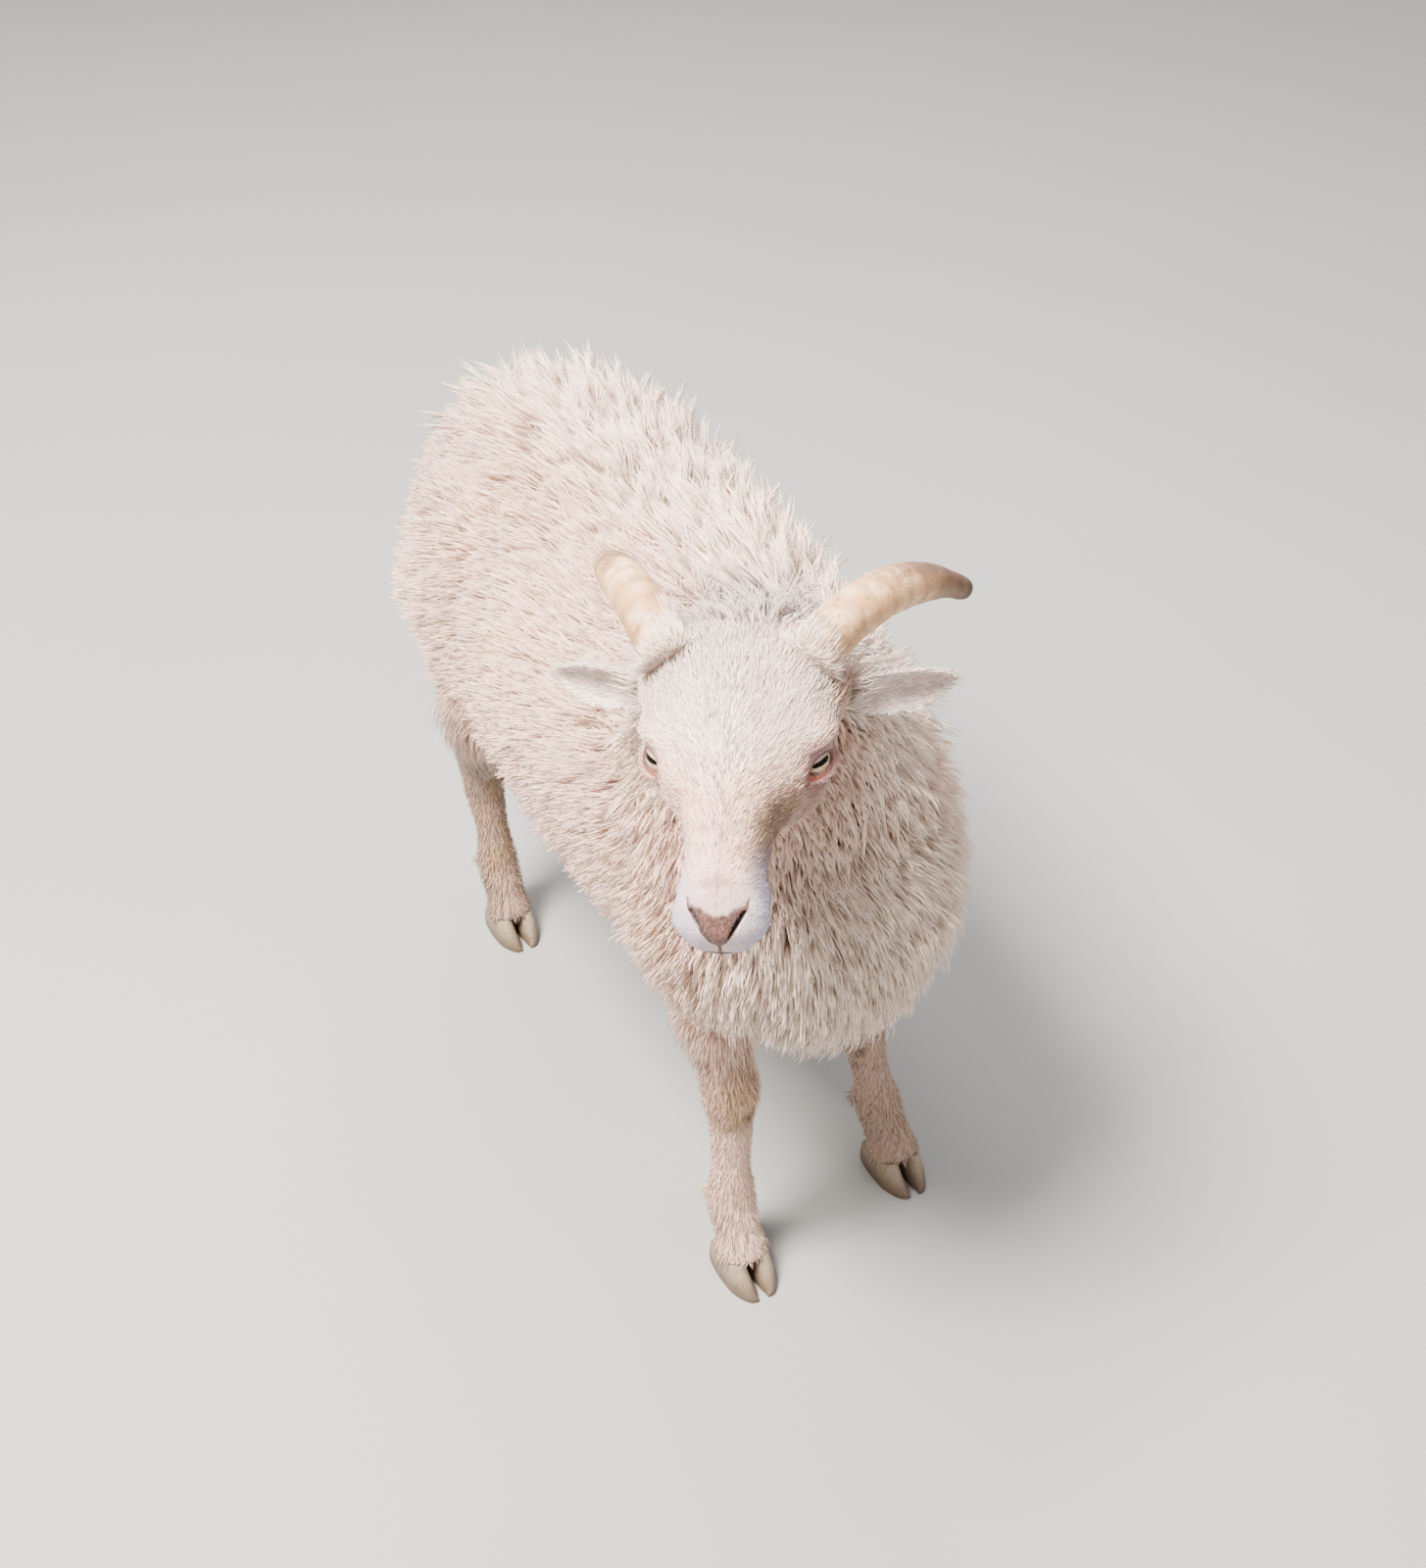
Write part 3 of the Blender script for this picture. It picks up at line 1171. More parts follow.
@dataclass
class Head:
    """Skull, muzzle, lids and ears in the head's own frame."""

    depth: float = 0.0010
    face: float = 0.00125
    lid_half: float = 0.0040
    lid_thick: float = 0.0021

    def solid(self) -> Object:
        """The head with its ears, lids, mouth and nostrils, in the head's frame."""
        head = Loft(HEAD, UP, -self.depth).solid("head", 96, 130)
        swell(head, HEAD_SWELLS)
        others = [Ear(side).solid() for side, _ in SIDES]
        others += [self.lid(side, upper) for side, _ in SIDES for upper in (True, False)]
        head = joined("head", [head] + others)
        remeshed(head, self.face, 3)
        swell(head, FINE_SWELLS)
        cutters = [self.nostril(side) for side, _ in SIDES] + [self.mouth()]
        cutters += [self.socket(side) for side, _ in SIDES]
        cutters += [self.tear_corner(side) for side, _ in SIDES]
        boolean(head, "DIFFERENCE", cutters)
        keep_largest(head)
        return head

    def lid(self, side: int, upper: bool) -> Object:
        """The roll of an eyelid, along an arc on the eyeball."""
        gaze, corner, over = eye_axes(side)
        centre = sided(EYE_PLACE, side)
        lift = 0.68 if upper else -0.56
        rows = []
        steps = 13
        for step in range(steps):
            sweep = math.radians(-66 + 146 * step / (steps - 1))
            bow = max(0.0, math.cos((sweep - 0.12) * 1.22))
            aim = gaze * math.cos(sweep) + corner * math.sin(sweep) + over * lift * bow
            place = centre + aim.normalized() * (EYE_RADIUS + 0.0006)
            inside = 0 < step < steps - 1
            wide, thick = (self.lid_half, self.lid_thick) if inside else (0.0006, 0.0005)
            rows.append(Section(*place, wide, thick, thick))
        return Loft(tuple(rows), gaze).solid("lid", 16, 32)

    def nostril(self, side: int) -> Object:
        """A cutter for the comma-shaped slit of a nostril."""
        line = ((0.0048, -0.1010, -0.0252, 0.0005), (0.0074, -0.1000, -0.0214, 0.0010),
                (0.0106, -0.0975, -0.0172, 0.0017), (0.0132, -0.0945, -0.0138, 0.0015),
                (0.0143, -0.0915, -0.0125, 0.0005))
        rows = tuple(Section(side * x, y, z, size, 0.0042, 0.0042) for x, y, z, size in line)
        return Loft(rows, Vector((side * 0.5, -0.75, 0.35))).solid("nostril", 14, 24)

    def tear_corner(self, side: int) -> Object:
        """A cutter for the groove in front of the eye's inner corner."""
        gaze, corner, over = eye_axes(side)
        rows = []
        for u, v, out, size in (
                (0.0060, -0.0010, 0.0112, 0.0004), (0.0085, -0.0014, 0.0114, 0.0016),
                (0.0120, -0.0020, 0.0116, 0.0019), (0.0155, -0.0028, 0.0116, 0.0013),
                (0.0185, -0.0036, 0.0116, 0.0004)):
            place = sided(EYE_PLACE, side) + corner * u + over * v + gaze * out
            rows.append(Section(*place, size, 0.0017, 0.0017))
        return Loft(tuple(rows), gaze).solid("tear_corner", 12, 20)

    def mouth(self) -> Object:
        """A cutter for the line of the mouth, round the front from corner to corner."""
        rows = []
        steps = 25
        for step in range(steps):
            turn = math.radians(-90 + 180 * step / (steps - 1))
            x = 0.0235 * math.sin(turn)
            y = -0.0640 - 0.0345 * max(0.0, math.cos(turn)) ** 0.8
            z = -0.0335 - 0.0055 * math.cos(turn)
            thick = 0.0005 if 0 < step < steps - 1 else 0.0002
            rows.append(Section(x, y, z, 0.0044, thick, thick))
        return Loft(tuple(rows), UP).solid("mouth", 8, 60)

    def socket(self, side: int) -> Object:
        """The ball that makes room for an eye."""
        mesh = bmesh.new()
        bmesh.ops.create_uvsphere(mesh, u_segments=32, v_segments=24, radius=EYE_RADIUS + GAP)
        bmesh.ops.translate(mesh, vec=sided(EYE_PLACE, side), verts=mesh.verts)
        return as_object("socket", mesh)


@dataclass
class Leg:
    """A leg from inside the body down to the coronet."""

    sections: tuple[Section, ...]
    depth: float = 0.0012

    def solid(self, name: str) -> Object:
        """The leg with its dewclaws, cut off over the claws."""
        leg = Loft(self.sections, -BACK, -self.depth).solid(name, 32, 84)
        boolean(leg, "UNION", [self.dewclaw(side) for side in (-1, 1)])
        foot = self.sections[FOOT_SECTION]
        cut_flat(leg, Vector((0, foot.y - CORONET_BACK, CORONET_HEIGHT)), CORONET_SLOPE, True)
        keep_largest(leg)
        return leg

    def dewclaw(self, side: int) -> Object:
        """The small claw high behind the foot."""
        ankle = self.sections[ANKLE_SECTION]
        x, y, z = ankle.x + side * 0.0085, ankle.y + 0.0150, ankle.z - 0.004
        rows = (Section(x, y - 0.006, z + 0.004, 0.001, 0.001, 0.001),
                Section(x, y - 0.002, z + 0.002, 0.0046, 0.0046, 0.0046),
                Section(x, y + 0.003, z - 0.002, 0.0042, 0.0042, 0.0042),
                Section(x, y + 0.006, z - 0.006, 0.0006, 0.0006, 0.0006))
        return Loft(rows, UP).solid("dewclaw", 16, 14)


@dataclass
class Flesh:
    """The animal's flesh under its coat, as one skin, and the parts of it that hair grows from."""

    trunk_face: float = 0.0055
    legs: dict[str, tuple[Section, ...]] = field(default_factory=lambda: {
        "foreleg_right": FORE_RIGHT,
        "foreleg_left": FORE_LEFT,
        "hindleg_right": HIND_RIGHT,
        "hindleg_left": mirrored(HIND_RIGHT, HIND_LEFT_SHIFT),
    })

    def trunk(self) -> Object:
        """Trunk, neck, tail, thighs and shoulders without their wool."""
        lofts = (Loft(TRUNK, UP), Loft(NECK, BACK), Loft(TAIL, BACK), Loft(THIGH, -BACK),
                 Loft(mirrored(THIGH), -BACK), Loft(SHOULDER, -BACK),
                 Loft(mirrored(SHOULDER, LEFT_SHOULDER_SHIFT), -BACK))
        forms = [loft.solid(f"form_{i}", 40, 44) for i, loft in enumerate(lofts)]
        return remeshed(joined("trunk", forms), self.trunk_face, 4)

    def build(self) -> dict[str, Object]:
        """Builds the parts and the one skin over them all.

        Returns:
            The skin and the separate trunk, head and legs, by name.
        """
        parts = {"trunk": self.trunk(), "head": Head().solid()}
        parts["head"].data.transform(head_matrix())
        for name, sections in self.legs.items():
            parts[name] = Leg(sections).solid(name)
        skin = copy_of(parts["trunk"], "skin")
        boolean(skin, "UNION", [copy_of(piece, name) for name, piece in parts.items()
                                if name != "trunk"])
        keep_largest(skin)
        parts["skin"] = skin
        return parts


def copy_of(source: Object, name: str) -> Object:
    """The same mesh again as an object of its own."""
    return linked(name, source.data.copy())


# Hair and wool

class SkinMap:
    """A flat map of the skin's own shape, which tells each tuft where its root lies on it."""

    def __init__(self, skin: Object) -> None:
        """Unwraps a lighter copy of the skin."""
        light = copy_of(skin, "map")
        modifier = light.modifiers.new("Decimate", "DECIMATE")
        modifier.ratio = 0.12
        applied(light)
        bpy.ops.object.select_all(action="DESELECT")
        light.select_set(True)
        bpy.context.view_layer.objects.active = light
        bpy.ops.object.mode_set(mode="EDIT")
        bpy.ops.mesh.select_all(action="SELECT")
        bpy.ops.uv.smart_project(angle_limit=math.radians(66), island_margin=0.002)
        bpy.ops.object.mode_set(mode="OBJECT")
        data = light.data
        flat = np.zeros(len(data.loops) * 2, np.float32)
        data.uv_layers.active.data.foreach_get("uv", flat)
        self.places = vertex_rows(data, "co")
        self.corners = corner_rows(data, "vertices")
        self.marks = flat.reshape(-1, 2)[corner_rows(data, "loops")]
        self.tree = BVHTree.FromPolygons([Vector(p) for p in self.places],
                                         self.corners.tolist())
        bpy.data.objects.remove(light)

    def marks_at(self, roots: np.ndarray) -> np.ndarray:
        """The places on the flat map of the roots.

        Args:
            roots: Places on the skin, one row each.

        Returns:
            Two numbers from 0 to 1 for each.
        """
        found = np.zeros((len(roots), 2))
        for index, root in enumerate(roots):
            near, _, face, _ = self.tree.find_nearest(Vector(root))
            a, b, c = self.places[self.corners[face]]
            first, second, third = b - a, c - a, np.array(near) - a
            d00, d01, d11 = first @ first, first @ second, second @ second
            d20, d21 = third @ first, third @ second
            base = max(d00 * d11 - d01 * d01, 1e-20)
            v = min(1.0, max(0.0, (d11 * d20 - d01 * d21) / base))
            w = min(1.0 - v, max(0.0, (d00 * d21 - d01 * d20) / base))
            found[index] = self.marks[face].T @ np.array((1 - v - w, v, w))
        return found


def scatter(surface: Object, spacing: float, seed: int,
            density: float = 9.0) -> tuple[np.ndarray, np.ndarray]:
    """Spreads roots evenly over a surface, none closer together than the spacing.

    Args:
        surface: The object that they lie on.
        spacing: The least distance between two roots.
        seed: Start of the random draw.
        density: How many places are tried for each that could fit.

    Returns:
        The places and the surface's normals there.
    """
    draw = np.random.default_rng(seed)
    corners = corner_rows(surface.data, "vertices")
    places, normals = (vertex_rows(surface.data, what) for what in ("co", "normal"))
    a, b, c = (places[corners[:, k]] for k in range(3))
    areas = np.linalg.norm(np.cross(b - a, c - a), axis=1) / 2
    wanted = int(areas.sum() / spacing**2 * density)
    picks = draw.choice(len(corners), size=wanted, p=areas / areas.sum())
    u, v = draw.random(wanted), draw.random(wanted)
    over = u + v > 1
    u[over], v[over] = 1 - u[over], 1 - v[over]
    weights = np.stack((1 - u - v, u, v), axis=1)[:, :, None]
    tried = (places[corners[picks]] * weights).sum(axis=1)
    facing = (normals[corners[picks]] * weights).sum(axis=1)
    facing /= np.linalg.norm(facing, axis=1)[:, None]
    cells: dict[tuple[int, int, int], list[int]] = {}
    kept = []
    keys = np.floor(tried / spacing).astype(int).tolist()
    rows = tried.tolist()
    near = [(i, j, k) for i in (-1, 0, 1) for j in (-1, 0, 1) for k in (-1, 0, 1)]
    limit = spacing * spacing
    for index, (i, j, k) in enumerate(keys):
        x, y, z = rows[index]
        crowded = False
        for di, dj, dk in near:
            for other in cells.get((i + di, j + dj, k + dk), ()):
                ox, oy, oz = rows[other]
                if (x - ox) ** 2 + (y - oy) ** 2 + (z - oz) ** 2 < limit:
                    crowded = True
                    break
            if crowded:
                break
        if not crowded:
            cells.setdefault((i, j, k), []).append(index)
            kept.append(index)
    return tried[kept], facing[kept]


def unit(rows: np.ndarray) -> np.ndarray:
    """The rows at length 1."""
    return rows / np.maximum(np.linalg.norm(rows, axis=1), 1e-9)[:, None]


def flattened(rows: np.ndarray, normals: np.ndarray) -> np.ndarray:
    """The directions without what stands up from the surface."""
    return rows - normals * (rows * normals).sum(axis=1)[:, None]


def on_surface(rows: np.ndarray, normals: np.ndarray) -> np.ndarray:
    """The directions laid flat on the surface, at length 1."""
    return unit(flattened(rows, normals))


def in_head(places: np.ndarray) -> np.ndarray:
    """Places on the animal in the head's own frame, one row each."""
    inverse = np.array(head_matrix().inverted())
    return places @ inverse[:3, :3].T + inverse[:3, 3]


def drop_buried(kept: np.ndarray, places: np.ndarray, tree: BVHTree, reach: float,
                clear: float = 0.0) -> None:
    """Stops keeping the places that lie inside a solid or too close to it.

    Args:
        kept: Whether each place is kept, which is changed.
        places: The places, one row each.
        tree: The solid.
        reach: How near its surface a place must be to count.
        clear: How far outside it a place has to be.
    """
    for index in np.nonzero(kept)[0]:
        spot = Vector(places[index])
        near, facing, _, distance = tree.find_nearest(spot)
        if distance < reach and (spot - near).dot(facing) < clear:
            kept[index] = False


def swept(places: np.ndarray, normals: np.ndarray, lie: np.ndarray, length: np.ndarray,
          lift: np.ndarray, bow: float, share: float = 0.40,
          clear: float = 0.0) -> tuple[np.ndarray, np.ndarray, np.ndarray]:
    """Root, bend and tip of hairs that lie along a surface.

    Args:
        places: Where they grow, one row each.
        normals: The surface's normals there.
        lie: The ways they lie.
        length: Their lengths.
        lift: How far each tip stands off, as a share of its length.
        bow: How far the bend stands off, as a share of the tip's lift.
        share: How far along a hair its bend lies.
        clear: What is added to the bend's height.

    Returns:
        The three places of each hair.
    """
    root = places - normals * ROOT_SINK
    bend = root + lie * (length * share)[:, None] + normals * (length * lift * bow + clear)[:, None]
    return root, bend, root + lie * length[:, None] + normals * (length * lift)[:, None]


@dataclass
class Tufts:
    """Many tapered strands held as arrays with one row for each."""

    root: np.ndarray
    bend: np.ndarray
    tip: np.ndarray
    normal: np.ndarray
    width: np.ndarray
    thickness: np.ndarray
    tint: np.ndarray
    wave: np.ndarray
    mark_size: float = 0.003

    def pick(self, chosen: np.ndarray) -> "Tufts":
        """The tufts of the chosen rows."""
        return Tufts(*(rows[chosen] for rows in (
            self.root, self.bend, self.tip, self.normal, self.width, self.thickness, self.tint,
            self.wave)))

    @staticmethod
    def pattern(cuts: tuple[float, ...]) -> tuple[np.ndarray, np.ndarray]:
        """One strand as a three-sided spike along +Z from 0 to 1, with rings at the cuts.

        Args:
            cuts: Heights of its rings between root and tip.

        Returns:
            Its vertices and its triangles.
        """
        mesh = bmesh.new()
        bmesh.ops.create_cone(mesh, cap_ends=True, cap_tris=False, segments=3,
                              radius1=1.0, radius2=0.0, depth=1.0)
        bmesh.ops.translate(mesh, vec=(0, 0, 0.5), verts=mesh.verts)
        bmesh.ops.remove_doubles(mesh, verts=mesh.verts, dist=1e-5)
        for cut in cuts:
            whole = list(mesh.verts) + list(mesh.edges) + list(mesh.faces)
            bmesh.ops.bisect_plane(mesh, geom=whole, plane_co=(0, 0, cut), plane_no=(0, 0, 1))
        bmesh.ops.triangulate(mesh, faces=mesh.faces)
        face_outwards(mesh)
        mesh.verts.index_update()
        places = np.array([v.co for v in mesh.verts])
        faces = np.array([[v.index for v in f.verts] for f in mesh.faces], np.int32)
        mesh.free()
        return places, faces

    def solid(self, name: str, cuts: tuple[float, ...], skin_map: SkinMap) -> Object:
        """Joins all the strands in one mesh.

        Args:
            name: The object's name.
            cuts: Heights of each strand's rings.
            skin_map: The flat map of the skin, for the strands' colours in an export.

        Returns:
            The new object, with its map OFBake and what each vertex needs for its colour.
        """
        places, faces = self.pattern(cuts)
        along = places[:, 2]
        turn = np.arctan2(places[:, 1], places[:, 0])
        profile = np.interp(along, (0.0, 0.3, 0.7, 0.9, 1.0), (0.65, 1.0, 0.80, 0.45, 0.0))
        t = along[None, :, None]
        root, bend, tip = (rows[:, None, :] for rows in (self.root, self.bend, self.tip))
        centre = root * (1 - t) ** 2 + bend * 2 * t * (1 - t) + tip * t**2
        ahead = (bend - root) * (1 - t) + (tip - bend) * t
        ahead /= np.maximum(np.linalg.norm(ahead, axis=2), 1e-9)[:, :, None]
        side = np.cross(ahead, self.normal[:, None, :])
        side /= np.maximum(np.linalg.norm(side, axis=2), 1e-9)[:, :, None]
        top = np.cross(side, ahead)
        sway = self.wave[:, None] * np.sin(along * 7.0 + self.tint[:, None] * 40) * along
        centre = centre + side * sway[:, :, None]
        across = self.width[:, None] * (np.cos(turn) * profile)
        high = self.thickness[:, None] * (np.sin(turn) * profile)
        made = centre + side * across[:, :, None] + top * high[:, :, None]
        count, size = len(self.root), len(places)
        whole = (faces[None] + (np.arange(count) * size)[:, None, None]).reshape(-1, 3)
        data = bpy.data.meshes.new(name)
        data.from_pydata(made.reshape(-1, 3), [], whole)
        data.update()
        self.write(data, "along", np.tile(along, count))
        self.write(data, "tint", np.repeat(self.tint, size))
        marks = skin_map.marks_at(self.root)
        local = np.stack((np.cos(turn) * profile * 0.5, along - 0.5), axis=1) * self.mark_size
        spread = (marks[:, None, :] + local[None]).reshape(-1, 2)
        layer = data.uv_layers.new(name="OFBake")
        layer.data.foreach_set("uv", spread[whole.ravel()].astype(np.float32).ravel())
        return linked(name, data)

    @staticmethod
    def write(data: Mesh, name: str, values: np.ndarray) -> None:
        """Stores one number for each vertex."""
        layer = data.attributes.new(name, "FLOAT", "POINT")
        layer.data.foreach_set("value", values.astype(np.float32))


class Region(Enum):
    """Parts of the fleece, each one or more pieces of its own."""

    TAIL = "tail"
    NECK = "neck"
    CHEST = "chest"
    BACK = "back"
    FLANK_RIGHT = "flank_right"
    FLANK_LEFT = "flank_left"


@dataclass(frozen=True)
class Layer:
    """One layer of wool: its locks' spacing and strands, and how much of the depth they fill."""

    name: str
    spacing: float
    strands: int
    spread: float
    half_width: float
    half_thickness: float
    start: float
    reach: float
    jitter: float
    cuts: tuple[float, ...]


LAYERS = (
    Layer("under", 0.0034, 1, 0.0, 0.0024, 0.0017, 0.0, 0.92, 0.0018, (0.50,)),
    Layer("outer", 0.0042, 9, 0.0042, 0.00047, 0.00038, 0.56, 1.0, 0.0015, (0.50,)),
)


@dataclass
class Fleece:
    """The wool: a soft under layer, and over it small pointed locks of several strands each."""

    run: float = 0.025
    ridge_run: float = 0.027
    gather: float = 0.14
    ridge_apart: float = 0.72
    cheek_short: float = 0.66
    cheek_reach: float = 0.042
    belly_scale: float = 0.88
    chest_short: float = 0.42
    root_sink: float = 0.0015
    root_seed: int = 5
    lock_seed: int = 11
    strand_seed: int = 23
    most_faces: int = 190000

    def locks(self, trunk: Object, bare: list[BVHTree], spacing: float
              ) -> dict[str, np.ndarray]:
        """Where each lock grows, how it lies and how long it is.

        Args:
            trunk: The skin under the wool.
            bare: Trees of the parts that the wool stops at.
            spacing: The least distance between two locks.

        Returns:
            Arrays with one row for each lock.
        """
        places, normals = scatter(trunk, spacing, self.root_seed)
        scales = np.ones(len(places))
        for index, place in enumerate(places):
            spot = Vector(place)
            room = 1.0
            for tree in bare:
                near, facing, _, distance = tree.find_nearest(spot)
                if distance < 0.04 and (spot - near).dot(facing) < 0:
                    distance = -1.0
                room = min(room, distance)
            scales[index] = 0.0 if room < 0.001 else min(1.0, 0.42 + room / SHORT_WOOL_REACH)
        cheek = near_head_point(in_head(places), CHEEK_PLACE, self.cheek_reach)
        scales *= 1 - self.cheek_short * cheek
        kept = scales > 0
        places, normals, scales = places[kept], normals[kept], scales[kept]
        draw = np.random.default_rng(self.lock_seed)
        count = len(places)
        on_neck = np.clip((0.08 - places[:, 1]) / 0.10, 0, 1)[:, None]
        low = np.clip((0.30 - places[:, 2:]) / 0.08, 0, 1)
        wish = np.array((0.05, 0.80, -0.30)) * (1 - low) + np.array((0.05, 0.55, -0.70)) * low
        wish = wish * (1 - on_neck) + np.array((0.0, -0.10, -1.0)) * on_neck
        flat = flattened(wish, normals)
        weak = np.linalg.norm(flat, axis=1) < 0.15
        flat[weak] = np.array((0, 1, 0)) - normals[weak] * normals[weak][:, 1:2]
        swirl = noise_rows(places * 14.0) * 0.35
        flat = unit(flat) + np.cross(normals, unit(flat)) * swirl[:, :1]
        away = np.linalg.norm((places - np.array(NAPE_PLACE)) / NAPE_REACH, axis=1)
        nape = np.clip(1.6 - away, 0, 1)
        ridge = np.clip((normals[:, 2] - 0.60) / 0.25, 0, 1)
        ridge *= np.clip((places[:, 2] - 0.37) / 0.02, 0, 1)
        ridge *= np.clip((places[:, 0] + 0.035) / 0.020, 0, 1)
        messy = (1 + 3.2 * nape + 1.4 * ridge)[:, None]
        flat = unit(flat + draw.normal(0, 0.12, (count, 3)) * messy)
        flat = on_surface(flat, normals)
        return {"place": places, "normal": normals, "lie": flat, "scale": scales,
                "ridge": ridge, "stand": np.maximum(ridge, nape * 0.8),
                "chance": draw.random(count), "length": draw.uniform(0.88, 1.10, count)}

    def tufts(self, trunk: Object, bare: list[BVHTree], layer: Layer) -> Tufts:
        """All the strands of all the locks of one layer."""
        lock = self.locks(trunk, bare, layer.spacing)
        tree = tree_of(trunk)
        draw = np.random.default_rng(self.strand_seed)
        count = len(lock["place"])
        ridge, stand = lock["ridge"], lock["stand"]
        scale = lock["scale"] * lock["length"] * (1 + (lock["chance"] - 0.62) * 0.5 * stand)
        low = lock["place"][:, 2] < BELLY_HEIGHT
        scale[low] *= self.belly_scale
        hang = np.clip((0.265 - lock["place"][:, 2]) / 0.03, 0, 1)
        front = np.clip((0.06 - lock["place"][:, 1]) / 0.04, 0, 1)
        scale *= 1 - self.chest_short * hang * front
        run = (self.run + self.ridge_run * stand) * scale
        proud = lock["chance"] > 0.85
        rise = COAT_DEPTH * scale * (1 + 0.06 * ridge + 0.06 * stand + 0.06 * proud)
        rise *= layer.reach - (0.25 * stand if layer.strands == 1 else 0)
        reach = lock["place"] + lock["lie"] * run[:, None]
        landed = np.zeros_like(reach)
        facing = np.zeros_like(reach)
        for index in range(count):
            near, normal, _, _ = tree.find_nearest(Vector(reach[index]))
            landed[index], facing[index] = near, normal
        facing = unit(facing * 0.6 + lock["normal"] * 0.4)
        follow = (0.80 - 0.45 * ridge)[:, None]
        foot = landed * follow + reach * (1 - follow)
        tip = foot + facing * rise[:, None]
        many = layer.strands
        owner = np.repeat(np.arange(count), many)
        normal = lock["normal"][owner]
        lie = lock["lie"][owner]
        across = np.cross(normal, lie)
        angle = draw.uniform(0, 2 * math.pi, count * many)
        away = layer.spread * np.sqrt(draw.random(count * many))
        offset = (lie * np.cos(angle)[:, None] + across * np.sin(angle)[:, None]) * away[:, None]
        root = lock["place"][owner] + offset - normal * self.root_sink
        own = draw.uniform(0.80, 1.04, count * many)[:, None]
        apart = 1 - self.gather - self.ridge_apart * stand[owner]
        ends = tip[owner] + offset * apart[:, None]
        ends = root + (ends - root) * own + draw.normal(0, layer.jitter, (count * many, 3))
        height = rise[owner][:, None] * own
        bend = root + normal * height * 0.92 + lie * (run[owner] * 0.10)[:, None] + offset * 0.35
        if layer.start:
            root = root + (ends - root) * layer.start + normal * height * 0.16
            flatten = (0.16 * (1 - 0.8 * stand[owner]))[:, None]
            bend = (root + ends) / 2 + normal * height * flatten
        fine = draw.uniform(0.75, 1.25, count * many)
        size = (0.75 + 0.25 * scale[owner]) * fine * (1 + 0.30 * stand[owner])
        tint = np.clip(lock["chance"][owner] * 0.6 + draw.random(count * many) * 0.4, 0, 1)
        wave = draw.uniform(0.0003, 0.0015, count * many) * scale[owner] * (1 + stand[owner])
        return Tufts(root, bend, ends, normal, layer.half_width * size,
                     layer.half_thickness * size, tint, wave)

    @staticmethod
    def region(place: np.ndarray) -> Region:
        """The region that a root belongs to."""
        x, y, z = place
        if y > 0.455 and z > 0.25 and abs(x - 0.010) < 0.022:
            return Region.TAIL
        if (place - np.array((-0.030, -0.012, 0.385))) @ np.array((-0.30, -0.45, 0.84)) > 0:
            return Region.NECK
        if y < 0.045:
            return Region.CHEST
        if z > 0.385:
            return Region.BACK
        return Region.FLANK_RIGHT if x < 0.004 else Region.FLANK_LEFT

    def build(self, ram: Ram, flesh: dict[str, Object], bare: list[BVHTree],
              skin_map: SkinMap) -> None:
        """Makes the fleece layer by layer and region by region."""
        material = HairFinish("wool", 0.04, 0.08, 0.0, 0.45).material()
        for layer in LAYERS:
            tufts = self.tufts(flesh["trunk"], bare, layer)
            labels = [self.region(place) for place in tufts.root]
            limit = self.most_faces // len(Tufts.pattern(layer.cuts)[1])
            for region in Region:
                rows = np.array([i for i, label in enumerate(labels) if label is region])
                if not len(rows):
                    continue
                rows = rows[np.argsort(tufts.root[rows][:, 1], kind="stable")]
                shares = -(-len(rows) // limit)
                for number, share in enumerate(np.array_split(rows, shares), 1):
                    name = f"fleece_{layer.name}_{region.value}"
                    name += f"_{number}" if shares > 1 else ""
                    piece = tufts.pick(share).solid(name, layer.cuts, skin_map)
                    ram.keep(piece, material, "wool")


def noise_rows(places: np.ndarray) -> np.ndarray:
    """Three smooth waves for each place, from about -1 to 1."""
    x, y, z = places.T
    first = np.sin(x * 1.7 + 1.3 * np.sin(y * 1.1)) * np.cos(z * 1.9 + y)
    second = np.sin(y * 1.9 + 1.1 * np.sin(z * 1.3)) * np.cos(x * 1.3 + z)
    third = np.sin(z * 1.5 + 1.7 * np.sin(x * 0.9)) * np.cos(y * 1.7 + x)
    return np.stack((first, second, third), axis=1)


def near_head_point(head: np.ndarray, centre: Vector, reach: float) -> np.ndarray:
    """How near each place is to a point on either side of the head, from 0 to 1."""
    both = np.abs(head[:, :1]), head[:, 1:]
    away = np.linalg.norm(np.hstack(both) - np.array(centre), axis=1)
    return np.clip(1.5 - away / reach, 0, 1)


